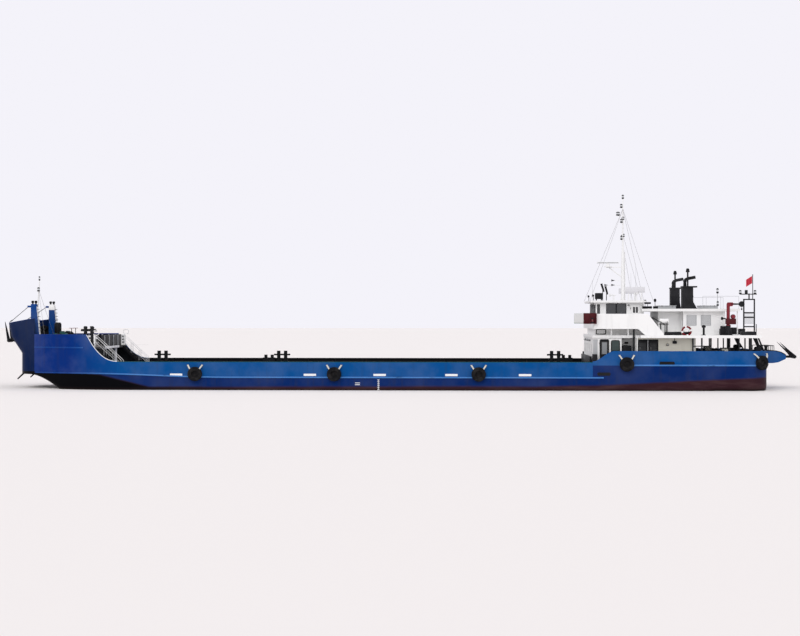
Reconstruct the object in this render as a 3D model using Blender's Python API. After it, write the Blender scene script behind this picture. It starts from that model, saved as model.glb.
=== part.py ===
"""Self-propelled river deck barge, as a model at half of its real size.

Every size here is the real ship's, in metres. The empty named ship brings the model to 1:2.
+X is forward, +Y is port and +Z is up. z = 0 is the flat bottom, x = 0 is near midships.
"""

from math import cos, pi, sin, sqrt

import bmesh
import bpy
from mathutils import Matrix, Vector

# Driving sizes of the ship, in metres
SCALE = 0.5
GAP = 0.0006
PLATE = 0.12
WALL = 0.10

HALF_BEAM = 6.5
BILGE_RADIUS = 0.5
MAIN_DECK = 2.75
BOW_DECK = 3.06
BULWARK_TOP = 3.98
POOP_DECK = 3.70
POOP_BULWARK_TOP = 4.85
FORECASTLE_UNDER = 5.03
FORECASTLE_DECK = 5.15
BOW_BULWARK_TOP = 6.20
FRONT_TOP = 7.15
CHEEK_TOP = 7.60
SWIM_HEIGHT = 2.80
COUNTER_HEIGHT = 1.60

BOAT_DECK_UNDER = 5.97
BOAT_DECK = 6.20
BRIDGE_DECK_UNDER = 6.73
BRIDGE_DECK = 6.85
BRIDGE_BULWARK_TOP = 7.93
WHEELHOUSE_TOP = 8.95
ROOF_TOP = 9.10
CASING_TOP = 8.20
CASING_ROOF = 8.42

# Places along the ship
X_STEM = 32.7
X_CHEEK = 31.0
X_SHOULDER = 24.0
X_BREAK = 23.2
X_BREAK_TOP = 25.9
X_FORECASTLE = 25.3
X_HULL_SPLIT = 20.0
X_POOP = -16.6
X_CORNER = -29.4
X_TRANSOM = -31.2
CORNER_RADIUS = 1.8
CHEEK_HALF = 3.757
TAPER_POWER = 1.6
BREAK_POWER = 2.2
FRONT_POWER = 4
FRONT_FLAT = 0.16

# Stations that touching pieces share, so that their facets match
SHEER_STATIONS = (14.0, 16.0, 18.0, X_HULL_SPLIT)
BOW_STATIONS = (X_HULL_SPLIT, 22.0, X_BREAK, 23.8, 24.4, 24.9, X_FORECASTLE, 25.6, 25.8, X_BREAK_TOP,
                26.6, 27.5, 28.5, 29.5, 30.3, X_CHEEK)
CORNER_STATIONS = (X_CORNER, -29.9, -30.3, -30.65, -30.95)

SIDES = (("port", 1), ("starboard", -1))

# Paints: name, colour, roughness, metallic
PAINTS = {
    "hull_blue": ((0.010, 0.09, 0.36), 0.45, 0.0),
    "hull_lower": ((0.012, 0.03, 0.12), 0.5, 0.0),
    "white": ((0.85, 0.85, 0.83), 0.5, 0.0),
    "black": ((0.012, 0.012, 0.014), 0.55, 0.0),
    "deck_dark": ((0.05, 0.055, 0.05), 0.8, 0.0),
    "rubber": ((0.02, 0.02, 0.02), 0.85, 0.0),
    "red": ((0.35, 0.02, 0.03), 0.5, 0.0),
    "green": ((0.02, 0.18, 0.06), 0.5, 0.0),
    "bronze": ((0.55, 0.36, 0.14), 0.35, 1.0),
    "light_blue": ((0.10, 0.30, 0.68), 0.45, 0.0),
}


def smoothstep(value):
    value = min(max(value, 0.0), 1.0)
    return value * value * (3 - 2 * value)


def half_breadth(x):
    """Half of the hull's breadth at x: parallel, with a tapered bow and rounded stern corners."""
    if x < X_CORNER:
        along = min(X_CORNER - x, CORNER_RADIUS)
        return HALF_BEAM - CORNER_RADIUS + sqrt(CORNER_RADIUS ** 2 - along ** 2)
    if x <= X_SHOULDER:
        return HALF_BEAM
    if x <= X_CHEEK:
        share = (x - X_SHOULDER) / (X_CHEEK - X_SHOULDER)
        return HALF_BEAM - (HALF_BEAM - CHEEK_HALF) * share ** TAPER_POWER
    share = (x - X_CHEEK) / (X_STEM - X_CHEEK)
    return CHEEK_HALF * max(1 - share, 0.0) ** (1 / FRONT_POWER)


def bottom_height(x):
    """Height of the bottom at x: flat, rising to the swim bow and to the stern counter."""
    swim = SWIM_HEIGHT * smoothstep((x - 25.0) / 6.5)
    counter = COUNTER_HEIGHT * smoothstep((-22.5 - x) / 4.5)
    return swim + counter


def deck_height(x):
    """Height of the main deck at x, with the sheer forward."""
    return MAIN_DECK + (BOW_DECK - MAIN_DECK) * smoothstep((x - 14.0) / 12.0)


def box(x_span, y_span, z_span):
    """A block between two corners, its spans given in either order."""
    shape = bmesh.new()
    spans = [sorted(span) for span in (x_span, y_span, z_span)]
    middle = Vector([(low + high) / 2 for low, high in spans])
    size = [high - low for low, high in spans]
    matrix = Matrix.Translation(middle) @ Matrix.Diagonal((*size, 1))
    bmesh.ops.create_cube(shape, size=1.0, matrix=matrix)
    return shape


def rod(start, end, radius, end_radius=None, sides=10):
    """A round bar, or a cone where the end radius is given."""
    shape = bmesh.new()
    start, end = Vector(start), Vector(end)
    axis = end - start
    matrix = Matrix.Translation((start + end) / 2) @ axis.to_track_quat("Z", "Y").to_matrix().to_4x4()
    bmesh.ops.create_cone(shape, cap_ends=True, segments=sides, radius1=radius,
                          radius2=radius if end_radius is None else end_radius,
                          depth=axis.length, matrix=matrix)
    return shape


def loft(rings):
    """A closed solid through rings of as many points each, with flat ends."""
    shape = bmesh.new()
    loops = [[shape.verts.new(point) for point in ring] for ring in rings]
    count = len(loops[0])
    for near, far in zip(loops, loops[1:]):
        for i in range(count):
            j = (i + 1) % count
            shape.faces.new((near[i], near[j], far[j], far[i]))
    shape.faces.new(loops[0])
    shape.faces.new(loops[-1])
    bmesh.ops.recalc_face_normals(shape, faces=shape.faces)
    return shape


def prism(outline, axis, span):
    """An outline in the two other axes, in their order x, y, z, drawn out along one axis."""
    low, high = sorted(span)

    def ring(level):
        points = []
        for first, second in outline:
            point = [first, second]
            point.insert("xyz".index(axis), level)
            points.append(point)
        return points

    return loft([ring(low), ring(high)])


def tyre(centre, outward, radius, thickness):
    """A tyre, lying against the side, as a ring of round section about the outward axis."""
    shape = bmesh.new()
    section_sides, steps = 6, 18
    half = thickness / 2
    points = []
    for i in range(section_sides):
        angle = 2 * pi * i / section_sides + pi / section_sides
        points.append(Vector((radius - half + half * cos(angle), 0, half * sin(angle))))
    ring = [shape.verts.new(point) for point in points]
    edges = [shape.edges.new((ring[i], ring[(i + 1) % section_sides])) for i in range(section_sides)]
    bmesh.ops.spin(shape, geom=edges, cent=(0, 0, 0), axis=(0, 0, 1), angle=2 * pi, steps=steps,
                   use_merge=True)
    bmesh.ops.remove_doubles(shape, verts=shape.verts, dist=1e-4)
    bmesh.ops.recalc_face_normals(shape, faces=shape.faces)
    turn = Vector(outward).to_track_quat("Z", "Y").to_matrix().to_4x4()
    shape.transform(Matrix.Translation(centre) @ turn)
    return shape


class Piece:
    """One sub-part. Its shapes are united into one solid, and its cutters are taken away."""

    def __init__(self, name, paint):
        self.name = name
        self.paint = paint
        self.shapes = []
        self.cutters = []

    def add(self, *shapes):
        self.shapes += shapes
        return self

    def cut(self, *shapes):
        self.cutters += shapes
        return self

    def build(self, pivot=(0, 0, 0)):
        """Makes the object, with its origin on the pivot."""
        main = new_object(self.name, self.shapes[:1], pivot)
        main.data.materials.append(paint_material(self.paint))
        if len(self.shapes) > 1:
            apply_boolean(main, self.name + "_joined", self.shapes[1:], "UNION", pivot)
        if self.cutters:
            apply_boolean(main, self.name + "_cutter", self.cutters, "DIFFERENCE", pivot)
        return main


def new_object(name, shapes, pivot):
    """An object of all shapes in one mesh, under the ship's empty."""
    total = bmesh.new()
    for shape in shapes:
        part = bpy.data.meshes.new(name + "_shape")
        shape.to_mesh(part)
        shape.free()
        total.from_mesh(part)
        bpy.data.meshes.remove(part)
    total.transform(Matrix.Translation(-Vector(pivot)))
    mesh = bpy.data.meshes.new(name)
    total.to_mesh(mesh)
    total.free()
    result = bpy.data.objects.new(name, mesh)
    result.parent = bpy.data.objects["ship"]
    result.location = pivot
    bpy.context.scene.collection.objects.link(result)
    return result


def apply_boolean(main, name, shapes, operation, pivot):
    """Unites shapes with the object, or cuts them from it."""
    helper = new_object(name, shapes, pivot)
    helper.hide_render = True
    helper.display_type = "WIRE"
    modifier = main.modifiers.new(operation.lower(), "BOOLEAN")
    modifier.operation = operation
    modifier.object = helper
    modifier.use_self = len(shapes) > 1


def paint_material(name):
    found = bpy.data.materials.get(name)
    if found:
        return found
    colour, roughness, metallic = PAINTS[name]
    material = bpy.data.materials.new(name)
    material.use_nodes = True
    shader = material.node_tree.nodes["Principled BSDF"]
    shader.inputs["Base Color"].default_value = (*colour, 1)
    shader.inputs["Roughness"].default_value = roughness
    shader.inputs["Metallic"].default_value = metallic
    return material


# The hull

def hull_ring(x, top):
    """The hull's outline across the ship at x, with rounded bilges."""
    half = half_breadth(x)
    bottom = bottom_height(x)
    bilge = min(BILGE_RADIUS, 0.45 * (top - bottom))
    side = [(half - bilge, bottom), (half - 0.3 * bilge, bottom + 0.3 * bilge),
            (half, bottom + bilge), (half, top)]
    port = [(x, y, z) for y, z in side]
    starboard = [(x, -y, z) for y, z in reversed(side)]
    return port + starboard


SHAFT_Y = 2.7
SHAFT_Z = 0.75
TUBE_END = -27.0
RUDDER_X = -28.6
RUDDER_BOSS = 1.48
HORN_Y = 2.0


def make_hull():
    bow_stations = BOW_STATIONS + (31.8, 32.3, 32.6, 32.69)
    bow = Piece("hull_bow", "hull_lower")
    bow.add(loft([hull_ring(x + (GAP if x == X_HULL_SPLIT else 0), deck_height(x))
                  for x in bow_stations]))
    for _, side in SIDES:
        y = side * HORN_Y
        bow.add(rod((32.3, y, 2.95), (32.98, y, 2.32), 0.09, 0.06, 8))
    bow.build()

    middle_stations = (X_POOP + GAP,) + SHEER_STATIONS
    Piece("hull_midbody", "hull_lower").add(
        loft([hull_ring(x, deck_height(x)) for x in middle_stations])).build()

    stern_stations = (X_POOP, -22.5, -23.4, -24.3, -25.2, -26.1, -27.0) + CORNER_STATIONS + (X_TRANSOM,)
    stern = Piece("hull_stern", "hull_lower")
    stern.add(loft([hull_ring(x, POOP_DECK) for x in stern_stations]))
    for _, side in SIDES:
        y = side * SHAFT_Y
        stern.add(rod((-24.0, y, SHAFT_Z), (TUBE_END, y, SHAFT_Z), 0.17, 0.14, 10))
        stern.add(box((-26.5, -26.85), (y - 0.04, y + 0.04), (SHAFT_Z, COUNTER_HEIGHT + 0.1)))
        stern.add(rod((RUDDER_X, y, COUNTER_HEIGHT + 0.2), (RUDDER_X, y, RUDDER_BOSS), 0.17, 0.17, 10))
    stern.build()

    Piece("cargo_deck", "deck_dark").add(
        box((-16.0, 14.0), (-5.85, 5.85), (MAIN_DECK + GAP, MAIN_DECK + 0.05))).build()


# The sides above the main deck

def wall_ring(x, bottom, top, side, thickness=PLATE, rail=0.0):
    """The bulwark's section at x. A rail turns its top inboard."""
    outer = half_breadth(x)
    inner = outer - thickness
    section = [(outer, bottom), (outer, top)]
    if rail:
        section += [(outer - rail, top), (outer - rail, top - 0.08), (inner, top - 0.08)]
    else:
        section += [(inner, top)]
    section += [(inner, bottom)]
    return [(x, side * y, z) for y, z in section]


# Bollards on the cargo bulwark: x, side, height of the posts' top, with a crossbar
BOLLARDS = (
    (19.4, 1, 4.90, True),
    (9.3, 1, 4.90, True),
    (-13.5, 1, 4.90, True),
    (12.0, -1, 4.28, False),
    (-15.2, -1, 4.28, False),
)
POST_RADIUS = 0.15
POST_SPACING = 0.58
STAY_SPACING = 2.5


def bollard(x, side, foot, top, crossbar, y=6.2):
    """A pair of posts on a low box, with one bar through both."""
    y *= side
    shapes = [box((x - 0.55, x + 0.55), (y - 0.24, y + 0.24), (foot, BULWARK_TOP + 0.04))]
    return shapes + twin_posts(x, y, BULWARK_TOP - 0.1, top, crossbar)


def twin_posts(x, y, foot, top, crossbar):
    shapes = []
    for offset in (-POST_SPACING / 2, POST_SPACING / 2):
        shapes.append(rod((x + offset, y, foot), (x + offset, y, top), POST_RADIUS, sides=10))
    if crossbar:
        bar = top - 0.32
        shapes.append(rod((x - 0.68, y, bar), (x + 0.68, y, bar), 0.07, sides=8))
    return shapes


def make_bulwarks():
    stations = (X_POOP + GAP,) + SHEER_STATIONS + (22.0, X_BREAK)
    for name, side in SIDES:
        wall = Piece("bulwark_" + name, "hull_blue")
        wall.add(loft([wall_ring(x, deck_height(x) + GAP, BULWARK_TOP, side, rail=0.3)
                       for x in stations]))
        x = X_POOP + STAY_SPACING
        while x < X_BREAK - 1:
            foot = deck_height(x + 0.05) + 2 * GAP
            outline = [(side * 6.44, foot), (side * 6.44, 3.94), (side * 6.25, 3.94), (side * 6.02, foot)]
            wall.add(prism(outline, "x", (x - 0.03, x + 0.03)))
            x += STAY_SPACING
        for bollard_x, bollard_side, top, crossbar in BOLLARDS:
            if bollard_side == side:
                foot = deck_height(bollard_x + 0.6) + 2 * GAP
                wall.add(*bollard(bollard_x, side, foot, top, crossbar))
        wall.build()


def bow_top(x):
    """Top of the bow's side plating: a hollow curve up from the bulwark to the forecastle."""
    along = min(max((x - X_BREAK) / (X_BREAK_TOP - X_BREAK), 0.0), 1.0)
    return BULWARK_TOP + (BOW_BULWARK_TOP - BULWARK_TOP) * along ** BREAK_POWER


def front_x(z):
    """How far forward the stem reaches at a height: upright, then flaring."""
    profile = ((BOW_DECK, 32.7), (4.6, 32.7), (6.0, 33.7), (FRONT_TOP, 33.95), (CHEEK_TOP, 34.0))
    for (low, x_low), (high, x_high) in zip(profile, profile[1:]):
        if z <= high:
            return x_low + (x_high - x_low) * max(z - low, 0) / (high - low)
    return profile[-1][1]


def front_plan(reach, half):
    """The front's plan from port to starboard, blunt, with half its breadth at the cheeks."""
    points = []
    for share in (1.0, 0.93, 0.8, 0.6, FRONT_FLAT, -FRONT_FLAT, -0.6, -0.8, -0.93, -1.0):
        points.append((X_CHEEK + (reach - X_CHEEK) * (1 - abs(share) ** FRONT_POWER), share * half))
    return points


def front_ring(z, sloped=False):
    """The front plating's outline at one height, outside and then back inside."""
    reach = front_x(z)
    outer = front_plan(reach, CHEEK_HALF)
    inner = front_plan(reach - PLATE, CHEEK_HALF - PLATE)

    def height(x):
        if not sloped:
            return z
        return CHEEK_TOP - (CHEEK_TOP - FRONT_TOP) * (x - X_CHEEK) / (reach - X_CHEEK)

    return [(x, y, height(x)) for x, y in outer + inner[::-1]]


# The bollards on the forecastle are staggered: x and y by side
BOW_BOLLARDS = {1: (25.78, 5.72), -1: (28.3, 4.46)}
BOW_BOLLARD_TOP = 6.9


def bow_bollard(side):
    """A pair of posts on a low base, which is welded to the bow's side plating."""
    x, y = BOW_BOLLARDS[side]
    foot = FORECASTLE_DECK + GAP
    base = [(x - 0.46, side * (y - 0.25)), (x + 0.46, side * (y - 0.25))]
    for end in (x + 0.46, x - 0.46):
        base.append((end, side * (half_breadth(end) - PLATE / 2)))
    plinth = prism(base, "z", (foot, foot + 0.3))
    return [plinth] + twin_posts(x, side * y, foot + 0.1, BOW_BOLLARD_TOP, True)


def make_bow():
    for name, side in SIDES:
        shell = Piece("bow_shell_" + name, "hull_blue")
        rings = []
        for x in BOW_STATIONS[2:]:
            shift = GAP if x == X_BREAK else (-GAP if x == X_CHEEK else 0)
            rings.append(wall_ring(x + shift, deck_height(x) + GAP, bow_top(x), side))
        shell.add(loft(rings), *bow_bollard(side))
        shell.build()

    front = Piece("bow_front", "hull_blue")
    levels = (BOW_DECK + GAP, 4.6, FORECASTLE_UNDER, FORECASTLE_DECK, 6.0)
    front.add(loft([front_ring(z) for z in levels] + [front_ring(FRONT_TOP, sloped=True)]))
    front.build()

    deck = Piece("forecastle_deck", "deck_dark")
    inset = PLATE + 2 * GAP
    edge = [(x, half_breadth(x) - inset) for x in BOW_STATIONS if X_FORECASTLE <= x < X_CHEEK]
    deck_front = front_x(FORECASTLE_UNDER) - inset - 0.01
    outline = edge + front_plan(deck_front, CHEEK_HALF - inset) + [(x, -y) for x, y in reversed(edge)]
    deck.add(prism(outline, "z", (FORECASTLE_UNDER, FORECASTLE_DECK)))
    bulkhead_half = half_breadth(27.1) - PLATE - 0.03
    deck.add(box((27.0, 27.1), (-bulkhead_half, bulkhead_half), (BOW_DECK + GAP, FORECASTLE_DECK - 0.05)))
    for _, side in SIDES:
        deck.add(rod((25.5, side * 3.0, deck_height(25.7) + GAP), (25.5, side * 3.0, 5.1), 0.12, sides=10))
        deck.cut(box((26.9, 27.2), (side * 1.6, side * 2.3), (BOW_DECK + 0.25, 4.8)))
    deck.build()


def make_stairs():
    """Steps from the main deck up to the forecastle, one flight on each side."""
    top_x, foot_x, steps = X_FORECASTLE - GAP, 22.9, 8
    foot_z = deck_height(foot_x + 0.3) + 4 * GAP
    slope = (FORECASTLE_DECK - foot_z) / (top_x - foot_x)
    for name, side in SIDES:
        flight = Piece("stair_" + name, "white")
        middle = side * 5.3
        for edge in (-0.42, 0.42):
            outline = [(foot_x, foot_z), (foot_x + 0.25, foot_z), (top_x, FORECASTLE_DECK - 0.25),
                       (top_x, FORECASTLE_DECK), (top_x - 0.05, FORECASTLE_DECK)]
            flight.add(prism(outline, "y", (middle + edge - 0.03, middle + edge + 0.03)))
        for step in range(1, steps):
            z = foot_z + (FORECASTLE_DECK - foot_z) * step / steps
            x = foot_x + (z - foot_z) / slope
            flight.add(box((x - 0.02, x + 0.22), (middle - 0.42, middle + 0.42), (z - 0.06, z - 0.02)))
        flight.build()


# Gear on the forecastle

POST_X = 31.5
POST_Y = 2.9
POST_TOP = 8.85
DRUM_X = 29.3
DRUM_Z = 6.15


def make_forecastle_gear():
    for name, side in SIDES:
        post = Piece("bow_post_" + name, "hull_blue")
        rings = []
        for z, back, half in ((FORECASTLE_DECK + GAP, 0.85, 0.30), (POST_TOP, 0.50, 0.22)):
            y = side * POST_Y
            rings.append([(POST_X, y - half, z), (POST_X, y + half, z),
                          (POST_X - back, y + half, z), (POST_X - back, y - half, z)])
        post.add(loft(rings))
        for x in (POST_X - 0.12, POST_X - 0.40):
            post.add(rod((x, y, POST_TOP - 0.1), (x, y, POST_TOP + 0.2), 0.07, sides=8))
            post.add(rod((x, y, POST_TOP + 0.12), (x, y, POST_TOP + 0.3), 0.11, sides=8))
        post.add(box((POST_X - 0.1, POST_X + 0.32), (y - 0.12, y + 0.12), (8.55, 8.72)))
        post.add(rod((POST_X + 0.25, y, 8.62), (33.62, side * 2.0, 7.28), 0.03, sides=6))
        post.build()

    mast = Piece("bow_light_mast", "white")
    mast.add(box((31.75, 32.15), (-0.2, 0.2), (FORECASTLE_DECK + GAP, FORECASTLE_DECK + 0.1)))
    mast.add(rod((31.95, 0, FORECASTLE_DECK + 0.05), (31.6, 0, 11.0), 0.09, 0.04, 8))
    mast.add(rod((31.68, 0, 10.0), (31.68, 0, 10.35), 0.13, sides=10))
    mast.add(rod((31.6, 0, 10.95), (31.6, 0, 11.35), 0.08, sides=8))
    mast.build()

    frame = Piece("windlass_frame", "black")
    bed = (FORECASTLE_DECK + GAP, FORECASTLE_DECK + 0.12)
    frame.add(box((DRUM_X - 1.0, DRUM_X + 1.0), (-1.25, 1.25), bed))
    for side in (-1, 1):
        outline = [(DRUM_X - 0.6, 5.2), (DRUM_X + 0.6, 5.2), (DRUM_X + 0.22, 6.5), (DRUM_X - 0.22, 6.5)]
        frame.add(prism(outline, "y", (side * 0.85, side * 0.95)))
    frame.add(box((DRUM_X + 0.3, DRUM_X + 0.9), (-0.3, 0.5), (5.2, 7.3)))
    frame.build()

    drum = Piece("windlass_drum", "black")
    drum.add(rod((DRUM_X - 0.35, -0.85 + GAP, DRUM_Z), (DRUM_X - 0.35, 0.85 - GAP, DRUM_Z), 0.09, sides=10))
    drum.build(pivot=(DRUM_X - 0.35, 0, DRUM_Z))


HAWSE_Z = 5.8
BOW_CROWN = (34.2, 0, 5.66)
STERN_CROWN = (-34.3845, 0, 4.30)
FLUKE_Y = 0.62


def add_head(anchor, crown, tip, tip_radius):
    """The crown across the shank's end, and its two flukes up to the tip's x and z."""
    crown, arm = Vector(crown), Vector((0, 0.6, 0))
    anchor.add(rod(crown - arm, crown + arm, 0.17, sides=10))
    for side in (-1, 1):
        root = crown + Vector((0, side * 0.5, 0))
        anchor.add(rod(root, (tip[0], side * FLUKE_Y, tip[1]), 0.165, tip_radius, 8))


def make_anchors():
    """Stockless anchors, housed against the bow front and the stern platform."""
    reach = front_x(HAWSE_Z) - X_CHEEK
    seat = Vector((X_CHEEK + reach * (1 - FRONT_FLAT ** FRONT_POWER), 0, HAWSE_Z))
    outward = Vector((1.4, 0, -1.0)).normalized()
    anchor = Piece("anchor_bow", "black")
    anchor.add(rod(seat + outward * 2 * GAP, seat + outward * 0.25, 0.11, sides=10))
    anchor.add(rod(seat + outward * 0.2, BOW_CROWN, 0.11, 0.13, 10))
    add_head(anchor, BOW_CROWN, (34.5, 7.35), 0.05)
    anchor.build()

    anchor = Piece("anchor_stern", "black")
    anchor.add(rod((PLATFORM_END - GAP, 0, STERN_CROWN[2]), STERN_CROWN, 0.11, 0.12, 10))
    add_head(anchor, STERN_CROWN, (-33.1, 5.55), 0.09)
    anchor.build()


# Rubbing strakes, and the tyres that hang on them: x, height
TYRE_RADIUS = 0.60
TYRE_THICKNESS = 0.34
CARGO_TYRES = ((16.6, 2.95), (4.9, 2.95), (-7.15, 2.95))
POOP_TYRES = ((-19.4, 3.80), (-30.45, 3.93))
STRAKE = 0.08


def side_normal(x, side):
    """The hull side's outward direction at x."""
    slope = (half_breadth(x + 0.01) - half_breadth(x - 0.01)) / 0.02
    return Vector((-slope, side, 0)).normalized()


def strake_ring(x, low, high, side):
    outward = side_normal(x, side)
    foot = Vector((x, side * half_breadth(x), 0)) + outward * GAP
    tip = foot + outward * STRAKE
    return [(foot.x, foot.y, low), (tip.x, tip.y, low + 0.02), (tip.x, tip.y, high - 0.02),
            (foot.x, foot.y, high)]


def make_strakes():
    cargo_stations = (-17.5,) + SHEER_STATIONS + BOW_STATIONS[1:-1]
    poop_stations = (-18.9,) + CORNER_STATIONS
    for name, side in SIDES:
        lower = Piece("strake_" + name, "light_blue")
        lower.add(loft([strake_ring(x, deck_height(x) - 0.14, deck_height(x) - 0.01, side)
                        for x in cargo_stations]))
        upper = Piece("poop_strake_" + name, "light_blue")
        upper.add(loft([strake_ring(x, 3.64, 3.78, side) for x in poop_stations]))
        for piece, tyres in ((lower, CARGO_TYRES), (upper, POOP_TYRES)):
            for x, z in tyres:
                outward = side_normal(x, side)
                centre = Vector((x, side * half_breadth(x), z)) + outward * (TYRE_THICKNESS / 2 + 0.01)
                piece.add(tyre(centre, outward, TYRE_RADIUS, TYRE_THICKNESS))
            piece.build()


# The poop

PLATFORM_HALF = 1.7
PLATFORM_END = -33.4


def poop_top(x):
    """Top of the poop's bulwark: an S curve up from the cargo bulwark, then level."""
    return BULWARK_TOP + (POOP_BULWARK_TOP - BULWARK_TOP) * smoothstep((X_POOP - x) / 1.8)


def make_poop():
    stations = (X_POOP, -16.95, -17.3, -17.7, -18.05, -18.4) + CORNER_STATIONS
    for name, side in SIDES:
        wall = Piece("poop_bulwark_" + name, "hull_blue")
        rings = [wall_ring(x, POOP_DECK + GAP, poop_top(x), side) for x in stations]
        corner_y = HALF_BEAM - CORNER_RADIUS
        inner_end = PLATFORM_HALF + GAP
        section = ((X_TRANSOM, POOP_DECK + GAP), (X_TRANSOM, POOP_BULWARK_TOP),
                   (X_TRANSOM + PLATE, POOP_BULWARK_TOP), (X_TRANSOM + PLATE, POOP_DECK + GAP))
        rings.append([(x, side * corner_y, z) for x, z in section])
        rings.append([(x, side * inner_end, z) for x, z in section])
        wall.add(loft(rings))
        wall.build()

    platform = Piece("stern_platform", "hull_blue")
    outline = [(X_TRANSOM - GAP, 3.75), (-32.5, 3.80), (-33.2, 4.05), (PLATFORM_END, 4.15),
               (PLATFORM_END, 4.50), (-33.0, 4.72), (-32.4, 4.85), (X_TRANSOM - GAP, 4.85)]
    platform.add(prism(outline, "y", (-PLATFORM_HALF, PLATFORM_HALF)))
    platform.add(box((X_TRANSOM - 0.2, X_TRANSOM + PLATE), (-PLATFORM_HALF, PLATFORM_HALF),
                     (POOP_DECK + GAP, POOP_BULWARK_TOP)))
    platform.build()


# The deckhouse

HOUSE_HALF = 5.2
HOUSE_FRONT = -16.7
HOUSE_AFT = -25.25
ALCOVE = (-19.1, -20.2)
ALCOVE_HALF = 4.0
DECKHOUSE_HINGE = -17.25
DOOR_GAP = 0.012
KNUCKLE = 0.035


def hung_door(name, side, wall_y, hinge_x, width, z_span, windows):
    """A door leaf that lies on a wall's outer face, hung on two knuckles at its forward edge."""
    low, high = z_span
    axis_y = side * (wall_y + GAP + KNUCKLE)
    door = Piece(name, "white")
    door.add(box((hinge_x - 0.02, hinge_x - width), (side * (wall_y + DOOR_GAP), side * (wall_y + 0.055)),
                 z_span))
    for z in (low + 0.25, high - 0.4):
        door.add(rod((hinge_x, axis_y, z), (hinge_x, axis_y, z + 0.15), KNUCKLE, sides=12))
    for x_near, x_far, z_low, z_high in windows:
        door.cut(box((hinge_x - x_near, hinge_x - x_far), (side * (wall_y - 0.1), side * (wall_y + 0.2)),
                     (z_low, z_high)))
    return door.build(pivot=(hinge_x, axis_y, 0))


def make_deckhouse():
    floor, roof = POOP_DECK + GAP, BOAT_DECK_UNDER - GAP
    front = Piece("deckhouse_front", "white")
    front.add(box((HOUSE_FRONT, HOUSE_FRONT - WALL), (-HOUSE_HALF, HOUSE_HALF), (floor, roof)))
    for y in (-3.6, -1.2, 1.2, 3.6):
        front.cut(box((HOUSE_FRONT + 0.2, HOUSE_FRONT - 0.3), (y - 0.4, y + 0.4), (4.75, 5.45)))
    front.build()

    aft = Piece("deckhouse_aft", "white")
    aft.add(box((HOUSE_AFT, HOUSE_AFT + WALL), (-HOUSE_HALF, HOUSE_HALF), (floor, roof)))
    aft.cut(box((HOUSE_AFT - 0.2, HOUSE_AFT + 0.3), (-0.45, 0.45), (floor + 0.15, 5.7)))
    aft.build()

    start, end = HOUSE_FRONT - WALL - GAP, HOUSE_AFT + WALL + GAP
    for name, side in SIDES:
        outer, inner = side * HOUSE_HALF, side * (HOUSE_HALF - WALL)
        back, back_outer = side * (ALCOVE_HALF - WALL), side * ALCOVE_HALF
        fore, after = ALCOVE
        outline = [(start, outer), (fore, outer), (fore, back_outer), (after, back_outer),
                   (after, outer), (end, outer), (end, inner), (after - WALL, inner),
                   (after - WALL, back), (fore + WALL, back), (fore + WALL, inner), (start, inner)]
        wall = Piece("deckhouse_side_" + name, "white")
        wall.add(prism(outline, "z", (floor, roof)))
        # Openings in the outer wall: forward end, aft end, sill, head
        for x_fore, x_aft, sill, head in ((-17.32, -17.97, 3.85, 5.8), (-18.25, -18.92, 4.3, 5.75),
                                          (-20.45, -21.2, 4.2, 5.8), (-21.36, -22.1, 4.2, 5.8)):
            wall.cut(box((x_fore, x_aft), (side * 4.9, side * 5.4), (sill, head)))
        wall.build()
        hung_door("deckhouse_door_" + name, side, HOUSE_HALF, DECKHOUSE_HINGE, 0.8, (3.80, 5.86),
                  [(0.17, 0.63, 4.9, 5.6)])


def make_boat_deck():
    deck = Piece("boat_deck", "white")
    outline = [(HOUSE_FRONT + 0.05, 5.3), (-20.6, 5.3), (-20.6, 6.0), (-30.6, 6.0), (-31.0, 3.5),
               (-31.0, -3.5), (-30.6, -6.0), (-20.6, -6.0), (-20.6, -5.3), (HOUSE_FRONT + 0.05, -5.3)]
    deck.add(prism(outline, "z", (BOAT_DECK_UNDER, BOAT_DECK)))
    # Pillars under the open part: x, radius
    for _, side in SIDES:
        for x, radius in ((-25.7, 0.07), (-26.45, 0.07), (-28.0, 0.06), (-28.77, 0.06), (-29.26, 0.06),
                          (-29.7, 0.14)):
            y = side * 5.6
            deck.add(rod((x, y, POOP_DECK + GAP), (x, y, BOAT_DECK_UNDER + 0.1), radius, sides=8))
    deck.build()


# The bridge

WING_HALF = 5.9
SIDELIGHT = (-15.87, -16.95)
BRIDGE_FRONT = -16.8
HOUSE_Y = 3.3
WHEELHOUSE_FRONT = -17.1
WHEELHOUSE_AFT = -21.15
WHEELHOUSE_HINGE = -20.05


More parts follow.
